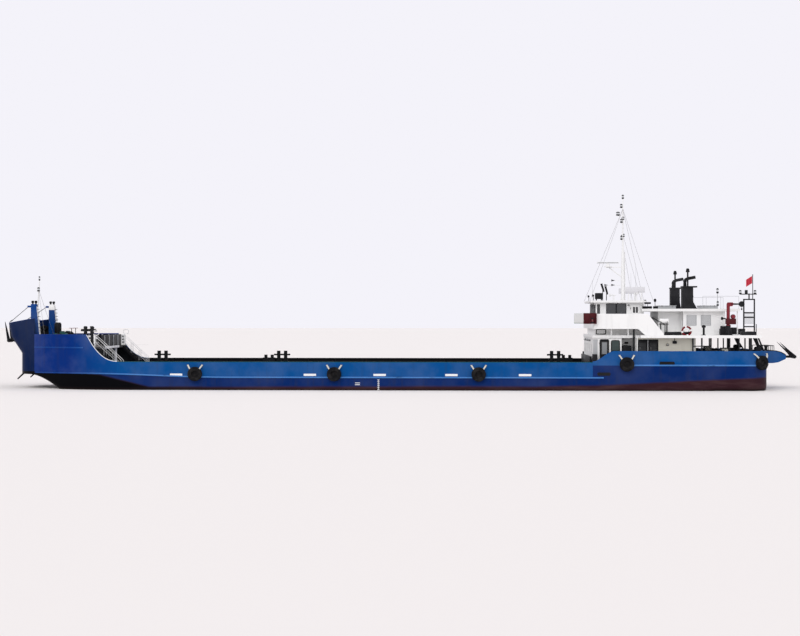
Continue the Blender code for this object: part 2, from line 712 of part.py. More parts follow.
def make_bridge():
    deck = Piece("bridge_deck", "white")
    deck.add(box((BRIDGE_FRONT, -21.6), (-WING_HALF + WALL + GAP, WING_HALF - WALL - GAP),
                 (BRIDGE_DECK_UNDER, BRIDGE_DECK)))
    deck.add(box((-16.95, -21.4), (-4.2, 4.2), (BOAT_DECK + GAP, BRIDGE_DECK_UNDER + 0.05)))
    deck.add(box((BRIDGE_FRONT + 0.08, BRIDGE_FRONT - 0.02), (-WING_HALF, WING_HALF),
                 (BRIDGE_DECK_UNDER, BRIDGE_BULWARK_TOP)))
    deck.build()

    for name, side in SIDES:
        wing = Piece("bridge_bulwark_" + name, "white")
        fore = BRIDGE_FRONT - 0.02 - GAP
        outline = [(fore, BRIDGE_DECK_UNDER), (fore, BRIDGE_BULWARK_TOP), (-21.2, BRIDGE_BULWARK_TOP),
                   (-22.57, BOAT_DECK + GAP), (-21.0, BOAT_DECK + GAP), (-20.4, BRIDGE_DECK_UNDER)]
        wing.add(prism(outline, "y", (side * (WING_HALF - WALL), side * WING_HALF)))
        wing.build()
        light = Piece("sidelight_" + name, "red" if side > 0 else "green")
        fore, aft = SIDELIGHT
        inner, lamp_y = side * (WING_HALF + GAP), side * (WING_HALF + 0.17)
        outer = side * (WING_HALF + 0.3)
        light.add(box((fore, aft), (inner, outer), (7.15, 7.25)))
        light.add(box((fore, aft), (inner, side * (WING_HALF + 0.06)), (7.2, 8.05)))
        light.add(box((aft + 0.1, aft), (side * (WING_HALF + 0.03), outer), (7.2, 8.05)))
        light.add(rod((-16.6, lamp_y, 7.2), (-16.6, lamp_y, 7.7), 0.11, sides=10))
        light.build()


def make_wheelhouse():
    floor, top = BRIDGE_DECK + GAP, WHEELHOUSE_TOP - GAP
    front = Piece("wheelhouse_front", "white")
    front.add(box((WHEELHOUSE_FRONT, WHEELHOUSE_FRONT - WALL), (-HOUSE_Y, HOUSE_Y), (floor, top)))
    for y in (-2.5, -1.25, 0, 1.25, 2.5):
        front.cut(box((WHEELHOUSE_FRONT + 0.2, WHEELHOUSE_FRONT - 0.3), (y - 0.48, y + 0.48), (7.95, 8.75)))
    front.build()

    aft = Piece("wheelhouse_aft", "white")
    aft.add(box((WHEELHOUSE_AFT, WHEELHOUSE_AFT + WALL), (-HOUSE_Y, HOUSE_Y), (floor, top)))
    for y in (-1.8, 1.8):
        aft.cut(box((WHEELHOUSE_AFT - 0.2, WHEELHOUSE_AFT + 0.3), (y - 0.6, y + 0.6), (8.0, 8.7)))
    aft.build()

    start, end = WHEELHOUSE_FRONT - WALL - GAP, WHEELHOUSE_AFT + WALL + GAP
    for name, side in SIDES:
        wall = Piece("wheelhouse_side_" + name, "white")
        wall.add(box((start, end), (side * (HOUSE_Y - WALL), side * HOUSE_Y), (floor, top)))
        for x_fore, x_aft, sill, head in ((-17.24, -17.42, 8.0, 8.78), (-18.0, -18.8, 8.0, 8.85),
                                          (-18.86, -19.65, 8.0, 8.85), (-20.12, -20.72, 6.95, 8.72)):
            wall.cut(box((x_fore, x_aft), (side * 3.0, side * 3.5), (sill, head)))
        wall.build()
        hung_door("wheelhouse_door_" + name, side, HOUSE_Y, WHEELHOUSE_HINGE, 0.76, (6.92, 8.78),
                  [(0.20, 0.34, 8.1, 8.55), (0.44, 0.58, 8.1, 8.55)])

    roof = Piece("wheelhouse_roof", "white")
    roof.add(box((-16.65, -21.3), (-3.75, 3.75), (WHEELHOUSE_TOP, ROOF_TOP)))
    roof.build()


# Engine casing and funnels

FUNNEL_Y = 3.2
# Name, side, then x of the fore face, of the after face and of the foot's after end
FUNNELS = (
    ("port", 1, -24.36, -25.28, -25.6),
    ("starboard", -1, -24.2, -25.0, -25.15),
)


def make_casing():
    casing = Piece("engine_casing", "white")
    casing.add(box((-24.4, -27.9), (-3.8, 3.8), (BOAT_DECK + GAP, CASING_TOP + 0.02)))
    casing.add(box((-22.4, -24.6), (-3.0, 3.0), (BOAT_DECK + GAP, CASING_TOP + 0.02)))
    # The roof's forward corners reach past the wheelhouse's after end
    roof = [(-20.9, 4.2), (-20.9, 3.45), (-21.3, 3.45), (-21.3, -3.45), (-20.9, -3.45), (-20.9, -4.2),
            (-29.1, -4.2), (-29.1, 4.2)]
    casing.add(prism(roof, "z", (CASING_TOP, CASING_ROOF)))
    casing.build()

    for name, side, fore, after, foot in FUNNELS:
        y = side * FUNNEL_Y
        funnel = Piece("funnel_" + name, "black")
        outline = [(fore, CASING_ROOF + GAP), (fore, 10.3), (after, 10.3), (after, 9.0),
                   (foot, CASING_ROOF + GAP)]
        funnel.add(prism(outline, "y", (y - 0.5, y + 0.5)))
        funnel.add(box((fore + 0.05, foot), (y - 0.55, y + 0.55), (10.2, 10.34)))
        # Exhaust bent aft, then a capped pipe
        bend = ((fore - 0.26, 10.2), (fore - 0.26, 10.75), (fore - 0.42, 10.95), (fore - 1.15, 11.1))
        for (x_start, z_start), (x_end, z_end) in zip(bend, bend[1:]):
            funnel.add(rod((x_start, y, z_start), (x_end, y, z_end), 0.14, sides=10))
        pipe_x, pipe_y = fore - 0.46, y + side * 0.3
        funnel.add(rod((pipe_x, pipe_y, 10.2), (pipe_x, pipe_y, 11.6), 0.07, sides=8))
        funnel.add(rod((pipe_x, pipe_y, 11.5), (pipe_x, pipe_y, 11.85), 0.17, 0.10, 10))
        funnel.build()


# Masts, radar, stern gear

MAST_X = -19.7
RADAR_X = -18.4
RADAR_Z = 12.30


def make_masts():
    mast = Piece("main_mast", "white")
    mast.add(rod((MAST_X, 0, ROOF_TOP + GAP), (MAST_X, 0, 13.5), 0.16, 0.11, 10))
    mast.add(rod((MAST_X, 0, 13.3), (MAST_X, 0, 18.3), 0.09, 0.04, 8))
    mast.add(box((MAST_X, RADAR_X + 0.15), (-0.08, 0.08), (12.0, 12.12)))
    mast.add(rod((RADAR_X, 0, 12.05), (RADAR_X, 0, RADAR_Z), 0.16, sides=12))
    mast.add(rod((MAST_X + 0.1, 0, 11.2), (RADAR_X - 0.1, 0, 12.04), 0.05, sides=6))
    for z, half in ((14.6, 0.9), (16.1, 0.55)):
        mast.add(rod((MAST_X, -half, z), (MAST_X, half, z), 0.04, sides=6))
    # Lamps on short arms: x, height, radius
    for x, z, radius in ((MAST_X, 18.2, 0.10), (MAST_X, 17.4, 0.10), (MAST_X + 0.42, 16.7, 0.16),
                         (MAST_X, 16.1, 0.12), (MAST_X, 14.6, 0.10)):
        mast.add(rod((x, 0, z - 0.16), (x, 0, z + 0.16), radius, sides=8))
    mast.add(box((MAST_X, MAST_X + 0.45), (-0.03, 0.03), (16.55, 16.62)))
    mast.build()

    scanner = Piece("radar_scanner", "white")
    scanner.add(rod((RADAR_X, 0, RADAR_Z + GAP), (RADAR_X, 0, RADAR_Z + 0.12), 0.10, sides=12))
    scanner.add(box((RADAR_X - 0.95, RADAR_X + 0.95), (-0.07, 0.07), (RADAR_Z + 0.08, RADAR_Z + 0.22)))
    scanner.build(pivot=(RADAR_X, 0, RADAR_Z))


DAVIT_X = -27.9
DAVIT_Y = 5.45
DAVIT_SLEW_Z = 7.0
DAVIT_LUFF_Z = 8.8
DAVIT_LUFF_X = DAVIT_X - 0.28
SHEAVE_RADIUS = 0.24
SHEAVE_X = DAVIT_LUFF_X - 0.83
TOWER_Y = 1.0
STAFF_X = -30.71
STAFF_RADIUS = 0.04


def make_stern_gear():
    post = Piece("davit_post", "black")
    post.add(box((DAVIT_X - 0.35, DAVIT_X + 0.35), (DAVIT_Y - 0.35, DAVIT_Y + 0.35),
                 (BOAT_DECK + GAP, BOAT_DECK + 0.1)))
    post.add(rod((DAVIT_X, DAVIT_Y, BOAT_DECK + 0.05), (DAVIT_X, DAVIT_Y, DAVIT_SLEW_Z), 0.2, sides=12))
    post.build()

    column = Piece("davit_column", "red")
    column.add(rod((DAVIT_X, DAVIT_Y, DAVIT_SLEW_Z + GAP), (DAVIT_X, DAVIT_Y, 8.9), 0.14, sides=12))
    # The winch around it, the hand gear forward of that, and the boom's cheeks
    column.add(box((DAVIT_X + 0.22, DAVIT_X - 0.64), (DAVIT_Y - 0.28, DAVIT_Y + 0.28), (7.1, 7.95)))
    column.add(rod((DAVIT_X + 0.2, DAVIT_Y, 7.6), (DAVIT_X + 0.6, DAVIT_Y, 7.6), 0.12, sides=10))
    for edge in (-1, 1):
        y = DAVIT_Y + edge * 0.12
        column.add(box((DAVIT_X + 0.05, DAVIT_LUFF_X - 0.12), (y - 0.02, y + 0.02), (8.6, 8.95)))
    column.build(pivot=(DAVIT_X, DAVIT_Y, DAVIT_SLEW_Z))

    boom = Piece("davit_boom", "black")
    pin_half = 0.1 - GAP
    boom.add(rod((DAVIT_LUFF_X, DAVIT_Y - pin_half, DAVIT_LUFF_Z),
                 (DAVIT_LUFF_X, DAVIT_Y + pin_half, DAVIT_LUFF_Z), 0.09, sides=12))
    boom.add(box((DAVIT_LUFF_X - 0.03, DAVIT_LUFF_X - 0.75), (DAVIT_Y - 0.07, DAVIT_Y + 0.07),
                 (DAVIT_LUFF_Z - 0.07, DAVIT_LUFF_Z + 0.07)))
    # The sheave at its end, with the hook block below
    boom.add(rod((SHEAVE_X, DAVIT_Y - 0.08, DAVIT_LUFF_Z), (SHEAVE_X, DAVIT_Y + 0.08, DAVIT_LUFF_Z),
                 SHEAVE_RADIUS, sides=16))
    boom.add(box((SHEAVE_X - 0.05, SHEAVE_X + 0.05), (DAVIT_Y - 0.04, DAVIT_Y + 0.04),
                 (DAVIT_LUFF_Z - 0.5, DAVIT_LUFF_Z)))
    boom.build(pivot=(DAVIT_LUFF_X, DAVIT_Y, DAVIT_LUFF_Z))

    tower = Piece("stern_tower", "black")
    for x in (-29.95, -30.85):
        tower.add(box((x - 0.06, x + 0.06), (TOWER_Y - 0.06, TOWER_Y + 0.06), (BOAT_DECK + GAP, 9.3)))
    for z in (6.9, 7.7, 8.1, 9.24):
        tower.add(box((-29.9, -30.9), (TOWER_Y - 0.05, TOWER_Y + 0.05), (z - 0.06, z + 0.055)))
    tower.add(rod((-30.4, TOWER_Y, 9.2), (-30.4, TOWER_Y, 9.75), 0.06, sides=8))
    tower.add(box((-29.6, -31.05), (TOWER_Y - 0.05, TOWER_Y + 0.05), (9.65, 9.73)))
    for x in (-29.65, -30.16, -30.91):
        tower.add(rod((x, TOWER_Y, 9.68), (x, TOWER_Y, 10.05), 0.13, sides=8))
    tower.add(rod((STAFF_X, TOWER_Y, 9.2), (STAFF_X, TOWER_Y, 11.4), STAFF_RADIUS, sides=8))
    tower.build()

    flag = Piece("flag", "red")
    hoist_x = STAFF_X + STAFF_RADIUS + GAP
    outline = [(hoist_x, 10.3), (hoist_x, 11.27), (-30.1, 10.56), (-30.08, 10.33)]
    flag.add(prism(outline, "y", (TOWER_Y - 0.02, TOWER_Y + 0.02)))
    flag.build()


# Propellers and rudders

PROPELLER_RADIUS = 0.65
BLADES = 4


def make_propulsion():
    for name, side in SIDES:
        y = side * SHAFT_Y
        propeller = Piece("propeller_" + name, "bronze")
        propeller.add(rod((TUBE_END - GAP, y, SHAFT_Z), (TUBE_END - 0.42, y, SHAFT_Z), 0.15, 0.09, 12))
        for blade in range(BLADES):
            turn = Matrix.Rotation(2 * pi * blade / BLADES, 4, "X")
            pitch = Matrix.Rotation(side * 0.6, 4, "Z")
            outline = [(-0.10, 0.06), (-0.20, 0.35), (-0.16, 0.58), (0.0, PROPELLER_RADIUS),
                       (0.16, 0.58), (0.20, 0.35), (0.10, 0.06)]
            leaf = prism(outline, "x", (-0.018, 0.018))
            leaf.transform(Matrix.Translation((TUBE_END - 0.2, y, SHAFT_Z)) @ turn @ pitch)
            propeller.add(leaf)
        propeller.build(pivot=(TUBE_END - 0.2, y, SHAFT_Z))

        rudder = Piece("rudder_" + name, "hull_lower")
        chord = [(RUDDER_X + 0.45, 0), (RUDDER_X + 0.3, 0.06), (RUDDER_X, 0.085), (RUDDER_X - 0.95, 0.02),
                 (RUDDER_X - 0.95, -0.02), (RUDDER_X, -0.085), (RUDDER_X + 0.3, -0.06)]
        rudder.add(prism([(x, y + offset) for x, offset in chord], "z", (0.15, 1.34)))
        rudder.add(rod((RUDDER_X, y, 1.2), (RUDDER_X, y, RUDDER_BOSS - GAP), 0.075, sides=10))
        rudder.build(pivot=(RUDDER_X, y, 0))


def make_barge():
    for old in list(bpy.data.objects):
        bpy.data.objects.remove(old)
    ship = bpy.data.objects.new("ship", None)
    bpy.context.scene.collection.objects.link(ship)
    ship.scale = (SCALE, SCALE, SCALE)
    make_hull()
    make_bulwarks()
    make_bow()
    make_stairs()
    make_forecastle_gear()
    make_anchors()
    make_strakes()
    make_poop()
    make_deckhouse()
    make_boat_deck()
    make_bridge()
    make_wheelhouse()
    make_casing()
    make_masts()
    make_stern_gear()
    make_propulsion()


make_barge()
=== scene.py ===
"""Finish and fittings of a self-propelled river deck barge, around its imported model.

Lengths are the real ship's metres, and SCALE brings them to the model, which is half as large.
+X is forward, +Y is port and +Z is up. z = 0 is the flat bottom.
"""

from math import cos, pi, radians, sin, sqrt
from random import Random

import bmesh
import bpy
from mathutils import Matrix, Vector


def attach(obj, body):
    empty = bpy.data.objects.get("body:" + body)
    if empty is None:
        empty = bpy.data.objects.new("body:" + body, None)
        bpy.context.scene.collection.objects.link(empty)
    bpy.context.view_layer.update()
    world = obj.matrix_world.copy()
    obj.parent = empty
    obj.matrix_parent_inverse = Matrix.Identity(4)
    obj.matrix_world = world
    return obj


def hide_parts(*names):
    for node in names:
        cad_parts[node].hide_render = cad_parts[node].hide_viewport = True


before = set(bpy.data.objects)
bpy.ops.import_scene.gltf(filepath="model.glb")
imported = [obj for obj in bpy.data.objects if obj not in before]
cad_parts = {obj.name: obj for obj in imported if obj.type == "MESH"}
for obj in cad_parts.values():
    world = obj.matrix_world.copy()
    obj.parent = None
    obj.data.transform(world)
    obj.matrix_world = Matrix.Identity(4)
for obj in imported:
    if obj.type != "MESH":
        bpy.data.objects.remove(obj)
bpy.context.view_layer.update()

# Driving sizes, as in the model's source
SCALE = 0.5
GAP = 0.0006
PLATE = 0.12
WATERLINE = 1.6
HALF_BEAM = 6.5
BILGE_RADIUS = 0.5
MAIN_DECK = 2.75
BOW_DECK = 3.06
BULWARK_TOP = 3.98
POOP_DECK = 3.70
POOP_BULWARK_TOP = 4.85
FORECASTLE_UNDER = 5.03
FORECASTLE_DECK = 5.15
BOW_BULWARK_TOP = 6.20
FRONT_TOP = 7.15
CHEEK_TOP = 7.60
BOAT_DECK_UNDER = 5.97
BOAT_DECK = 6.20
BRIDGE_DECK = 6.85
BRIDGE_BULWARK_TOP = 7.93
WHEELHOUSE_TOP = 8.95
ROOF_TOP = 9.10
CASING_ROOF = 8.42
X_STEM = 32.7
X_CHEEK = 31.0
X_SHOULDER = 24.0
X_BREAK = 23.2
X_BREAK_TOP = 25.9
X_FORECASTLE = 25.3
X_HULL_SPLIT = 20.0
X_POOP = -16.6
X_CORNER = -29.4
X_TRANSOM = -31.2
CORNER_RADIUS = 1.8
CHEEK_HALF = 3.757
TAPER_POWER = 1.6
BREAK_POWER = 2.2
FRONT_POWER = 4

SIDES = (("port", 1), ("starboard", -1))


def smoothstep(value):
    value = min(max(value, 0.0), 1.0)
    return value * value * (3 - 2 * value)


def half_breadth(x):
    """Half of the hull's breadth at x."""
    if x < X_CORNER:
        along = min(X_CORNER - x, CORNER_RADIUS)
        return HALF_BEAM - CORNER_RADIUS + sqrt(CORNER_RADIUS ** 2 - along ** 2)
    if x <= X_SHOULDER:
        return HALF_BEAM
    if x <= X_CHEEK:
        share = (x - X_SHOULDER) / (X_CHEEK - X_SHOULDER)
        return HALF_BEAM - (HALF_BEAM - CHEEK_HALF) * share ** TAPER_POWER
    share = (x - X_CHEEK) / (X_STEM - X_CHEEK)
    return CHEEK_HALF * max(1 - share, 0.0) ** (1 / FRONT_POWER)


def bottom_height(x):
    return 2.8 * smoothstep((x - 25.0) / 6.5) + 1.6 * smoothstep((-22.5 - x) / 4.5)


def deck_height(x):
    return MAIN_DECK + (BOW_DECK - MAIN_DECK) * smoothstep((x - 14.0) / 12.0)


def bow_top(x):
    """Top of the bow's side plating: a hollow curve, then level."""
    along = min(max((x - X_BREAK) / (X_BREAK_TOP - X_BREAK), 0.0), 1.0)
    return BULWARK_TOP + (BOW_BULWARK_TOP - BULWARK_TOP) * along ** BREAK_POWER


def poop_top(x):
    return BULWARK_TOP + (POOP_BULWARK_TOP - BULWARK_TOP) * smoothstep((X_POOP - x) / 1.8)


def front_x(z):
    """How far forward the stem reaches at a height."""
    profile = ((BOW_DECK, 32.7), (4.6, 32.7), (6.0, 33.7), (FRONT_TOP, 33.95), (CHEEK_TOP, 34.0))
    for (low, x_low), (high, x_high) in zip(profile, profile[1:]):
        if z <= high:
            return x_low + (x_high - x_low) * max(z - low, 0) / (high - low)
    return profile[-1][1]


def side_normal(x, side):
    """The hull side's outward direction at x."""
    slope = (half_breadth(x + 0.01) - half_breadth(x - 0.01)) / 0.02
    return Vector((-slope, side, 0)).normalized()


def steps(start, end, count):
    """Count + 1 evenly spaced values from start to end."""
    return [start + (end - start) * i / count for i in range(count + 1)]


# Shapes

def box(x_span, y_span, z_span, bevel=0.0):
    """A block between two corners, with its edges eased."""
    shape = bmesh.new()
    spans = [sorted(span) for span in (x_span, y_span, z_span)]
    middle = Vector([(low + high) / 2 for low, high in spans])
    size = [high - low for low, high in spans]
    bmesh.ops.create_cube(shape, size=1.0, matrix=Matrix.Translation(middle) @ Matrix.Diagonal((*size, 1)))
    if bevel:
        bmesh.ops.bevel(shape, geom=shape.edges[:], offset=bevel, segments=2, affect="EDGES", profile=0.5)
    return shape


def frame_of(direction):
    return Vector(direction).to_track_quat("Z", "Y").to_matrix().to_4x4()


def lathe(profile, base=(0, 0, 0), direction=(0, 0, 1), sides=20):
    """A turned solid: radius and height from the base, along a direction."""
    shape = bmesh.new()
    loops = []
    for radius, height in profile:
        if radius < 1e-5:
            loops.append([shape.verts.new((0, 0, height))])
        else:
            loops.append([shape.verts.new((radius * cos(2 * pi * i / sides), radius * sin(2 * pi * i / sides), height))
                          for i in range(sides)])
    for near, far in zip(loops, loops[1:]):
        for i in range(sides):
            j = (i + 1) % sides
            corners = [near[i % len(near)], near[j % len(near)], far[j % len(far)], far[i % len(far)]]
            unique = list(dict.fromkeys(corners))
            if len(unique) > 2:
                shape.faces.new(unique)
    for loop in (loops[0], loops[-1]):
        if len(loop) > 2:
            shape.faces.new(loop)
    bmesh.ops.recalc_face_normals(shape, faces=shape.faces)
    shape.transform(Matrix.Translation(base) @ frame_of(direction))
    return shape


def rod(start, end, radius, end_radius=None, sides=12):
    """A round bar, or a cone where the end radius is given."""
    start, end = Vector(start), Vector(end)
    final = radius if end_radius is None else end_radius
    return lathe([(radius, 0), (final, (end - start).length)], start, end - start, sides)


def tube(points, radius, sides=8, closed=False):
    """A round bar along a path."""
    points = [Vector(point) for point in points]
    shape = bmesh.new()
    count = len(points)
    normal = None
    loops = []
    for i, point in enumerate(points):
        before = points[i - 1] if i or closed else point
        after = points[(i + 1) % count] if i + 1 < count or closed else point
        along = (after - before).normalized()
        if normal is None:
            normal = along.orthogonal().normalized()
        normal = (normal - along * normal.dot(along)).normalized()
        other = along.cross(normal)
        loops.append([shape.verts.new(point + radius * (cos(2 * pi * j / sides) * normal
                                                        + sin(2 * pi * j / sides) * other))
                      for j in range(sides)])
    pairs = list(zip(loops, loops[1:]))
    if closed:
        pairs.append((loops[-1], loops[0]))
    for near, far in pairs:
        for j in range(sides):
            k = (j + 1) % sides
            shape.faces.new((near[j], near[k], far[k], far[j]))
    if not closed:
        shape.faces.new(loops[0])
        shape.faces.new(loops[-1])
    bmesh.ops.recalc_face_normals(shape, faces=shape.faces)
    return shape


def bent(points, corner, segments=4):
    """A path with its inner corners rounded."""
    points = [Vector(point) for point in points]
    path = [points[0]]
    for before, here, after in zip(points, points[1:], points[2:]):
        back = (before - here)
        ahead = (after - here)
        reach = min(corner, back.length / 2.01, ahead.length / 2.01)
        start = here + back.normalized() * reach
        end = here + ahead.normalized() * reach
        for i in range(segments + 1):
            t = i / segments
            path.append(start * (1 - t) ** 2 + here * 2 * t * (1 - t) + end * t * t)
    path.append(points[-1])
    return path


def loft(rings):
    """A closed solid through rings of as many points each, with flat ends."""
    shape = bmesh.new()
    loops = [[shape.verts.new(point) for point in ring] for ring in rings]
    count = len(loops[0])
    for near, far in zip(loops, loops[1:]):
        for i in range(count):
            j = (i + 1) % count
            shape.faces.new((near[i], near[j], far[j], far[i]))
    shape.faces.new(loops[0])
    shape.faces.new(loops[-1])
    bmesh.ops.recalc_face_normals(shape, faces=shape.faces)
    return shape


def prism(outline, axis, span):
    """An outline in the two other axes, in their order x, y, z, drawn out along one axis."""
    def ring(level):
        points = []
        for first, second in outline:
            point = [first, second]
            point.insert("xyz".index(axis), level)
            points.append(point)
        return points

    return loft([ring(min(span)), ring(max(span))])


def rounded(a_span, b_span, radius, segments=4):
    """The outline of a rectangle with round corners."""
    (a0, a1), (b0, b1) = sorted(a_span), sorted(b_span)
    radius = min(radius, (a1 - a0) / 2.01, (b1 - b0) / 2.01)
    points = []
    for a, b, start in ((a1 - radius, b1 - radius, 0), (a0 + radius, b1 - radius, 90),
                        (a0 + radius, b0 + radius, 180), (a1 - radius, b0 + radius, 270)):
        for i in range(segments + 1):
            angle = radians(start + 90 * i / segments)
            points.append((a + radius * cos(angle), b + radius * sin(angle)))
    return points


def ring_plate(outer, inner, axis, span):
    """A flat ring between two outlines of as many points, drawn out along one axis."""
    shape = bmesh.new()
    loops = []
    for outline, level in ((outer, span[0]), (outer, span[1]), (inner, span[1]), (inner, span[0])):
        loop = []
        for first, second in outline:
            point = [first, second]
            point.insert("xyz".index(axis), level)
            loop.append(shape.verts.new(point))
        loops.append(loop)
    count = len(outer)
    for near, far in zip(loops, loops[1:] + loops[:1]):
        for i in range(count):
            j = (i + 1) % count
            shape.faces.new((near[i], near[j], far[j], far[i]))
    bmesh.ops.recalc_face_normals(shape, faces=shape.faces)
    return shape


class Piece:
    """A named piece of the visual model. Its shapes keep their own finishes in one mesh."""

    def __init__(self, name):
        self.name = name
        self.total = bmesh.new()
        self.finishes = []

    def add(self, finish, *shapes):
        if finish not in self.finishes:
            self.finishes.append(finish)
        for shape in shapes:
            for face in shape.faces:
                face.material_index = self.finishes.index(finish)
            data = bpy.data.meshes.new("shape")
            shape.to_mesh(data)
            shape.free()
            self.total.from_mesh(data)
            bpy.data.meshes.remove(data)
        return self

    def make(self, body="ship", replaces=(), sharp=38):
        mesh = bpy.data.meshes.new(self.name)
        self.total.transform(Matrix.Scale(SCALE, 4))
        self.total.to_mesh(mesh)
        self.total.free()
        for finish in self.finishes:
            mesh.materials.append(FINISHES[finish])
        mesh.shade_smooth()
        mesh.set_sharp_from_angle(angle=radians(sharp))
        piece = bpy.data.objects.new(self.name, mesh)
        bpy.context.scene.collection.objects.link(piece)
        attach(piece, body)
        if replaces:
            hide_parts(*replaces)
        return piece


# Finishes

class Finish:
    """A procedural material on a Principled shader, in the model's own coordinates."""

    def __init__(self, name, colour, roughness=0.5, metallic=0.0, specular=0.3, coat=0.0):
        self.material = bpy.data.materials.new(name)
        self.material.use_nodes = True
        self.nodes = self.material.node_tree.nodes
        self.links = self.material.node_tree.links
        self.shader = self.nodes["Principled BSDF"]
        self.place = self.nodes.new("ShaderNodeTexCoord").outputs["Object"]
        self.roughness = roughness
        self.shader.inputs["Metallic"].default_value = metallic
        self.shader.inputs["Specular IOR Level"].default_value = specular
        self.shader.inputs["Coat Weight"].default_value = coat
        start = self.nodes.new("ShaderNodeRGB")
        start.outputs[0].default_value = (*colour, 1)
        self.colour = start.outputs[0]
        self.heights = []
        FINISHES[name] = self.material

    def math(self, operation, first, second=0.0, third=None):
        node = self.nodes.new("ShaderNodeMath")
        node.operation = operation
        for socket, value in zip(node.inputs, (first, second, third)):
            if value is None:
                continue
            if isinstance(value, (int, float)):
                socket.default_value = value
            else:
                self.links.new(value, socket)
        return node.outputs[0]

    def axis(self, name):
        """One coordinate, in ship metres."""
        split = self.nodes.new("ShaderNodeSeparateXYZ")
        self.links.new(self.place, split.inputs[0])
        return self.math("DIVIDE", split.outputs["XYZ".index(name.upper())], SCALE)

    def above(self, value, level, soft=0.01):
        """1 where the value is over the level, 0 below, with a soft edge."""
        shifted = self.math("SUBTRACT", value, level)
        node = self.nodes.new("ShaderNodeMapRange")
        self.links.new(shifted, node.inputs["Value"])
        node.inputs["From Min"].default_value = -soft
        node.inputs["From Max"].default_value = soft
        return node.outputs["Result"]

    def noise(self, scale, detail=4.0, stretch=(1, 1, 1), rough=0.55):
        """Noise from 0 to 1, its scale in ship metres."""
        mapping = self.nodes.new("ShaderNodeMapping")
        mapping.inputs["Scale"].default_value = [1 / (scale * SCALE * s) for s in stretch]
        self.links.new(self.place, mapping.inputs["Vector"])
        node = self.nodes.new("ShaderNodeTexNoise")
        node.inputs["Scale"].default_value = 1.0
        node.inputs["Detail"].default_value = detail
        node.inputs["Roughness"].default_value = rough
        self.links.new(mapping.outputs[0], node.inputs["Vector"])
        return node.outputs["Fac"]

    def ramp(self, value, *stops):
        """A grey level from stops of place and level."""
        node = self.nodes.new("ShaderNodeValToRGB")
        node.color_ramp.elements[0].position = stops[0][0]
        node.color_ramp.elements[0].color = (stops[0][1],) * 3 + (1,)
        node.color_ramp.elements[1].position = stops[-1][0]
        node.color_ramp.elements[1].color = (stops[-1][1],) * 3 + (1,)
        for place, level in stops[1:-1]:
            element = node.color_ramp.elements.new(place)
            element.color = (level, level, level, 1)
        self.links.new(value, node.inputs[0])
        return node.outputs["Color"]

    def tint(self, mask, colour, blend="MIX"):
        """Lays a colour over the surface where the mask is 1."""
        node = self.nodes.new("ShaderNodeMix")
        node.data_type = "RGBA"
        node.blend_type = blend
        self.links.new(mask, node.inputs["Factor"])
        self.links.new(self.colour, node.inputs["A"])
        node.inputs["B"].default_value = (*colour, 1)
        self.colour = node.outputs["Result"]
        return self

    def relief(self, value, height):
        """Raises the surface by a value times a height in ship metres."""
        self.heights.append((value, height * SCALE))
        return self

    def done(self, rough_value=None, rough_range=0.12):
        self.links.new(self.colour, self.shader.inputs["Base Color"])
        if rough_value is None:
            rough_value = self.noise(0.6)
        spread = self.math("MULTIPLY_ADD", rough_value, rough_range * 2, self.roughness - rough_range)
        self.links.new(spread, self.shader.inputs["Roughness"])
        normal = None
        for value, height in self.heights:
            node = self.nodes.new("ShaderNodeBump")
            node.inputs["Strength"].default_value = 1.0
            node.inputs["Distance"].default_value = height
            self.links.new(value, node.inputs["Height"])
            if normal is not None:
                self.links.new(normal, node.inputs["Normal"])
            normal = node.outputs["Normal"]
        if normal is not None:
            self.links.new(normal, self.shader.inputs["Normal"])
        return self.material


FINISHES = {}
RUST = (0.16, 0.055, 0.022)
SOOT = (0.010, 0.010, 0.011)
# Length and height of the shell plates, whose welds show
PLATE_LENGTH = 6.0
PLATE_HEIGHT = 1.5


def weld_lines(finish, axis_name, spacing, width=0.03):
    """1 on evenly spaced lines across an axis."""
    place = finish.math("DIVIDE", finish.axis(axis_name), spacing)
    wave = finish.math("PINGPONG", place, 0.5)
    return finish.math("LESS_THAN", wave, width / spacing)


def weather(finish, wear=0.25, streak=0.3, patch=0.12, rust=RUST):
    """Faded patches, streaks that run down and spots of rust."""
    faded = finish.ramp(finish.noise(3.0, 5), (0.42, 0), (0.75, 1))
    finish.tint(finish.math("MULTIPLY", faded, patch), (0.75, 0.78, 0.80))
    dark = finish.ramp(finish.noise(1.1, 6, stretch=(0.35, 0.35, 3.0)), (0.52, 0), (0.78, 1))
    finish.tint(finish.math("MULTIPLY", dark, streak), (0.03, 0.028, 0.025))
    spots = finish.ramp(finish.noise(0.35, 8, rough=0.7), (0.66, 0), (0.74, 1))
    finish.tint(finish.math("MULTIPLY", spots, wear), rust)
    return finish


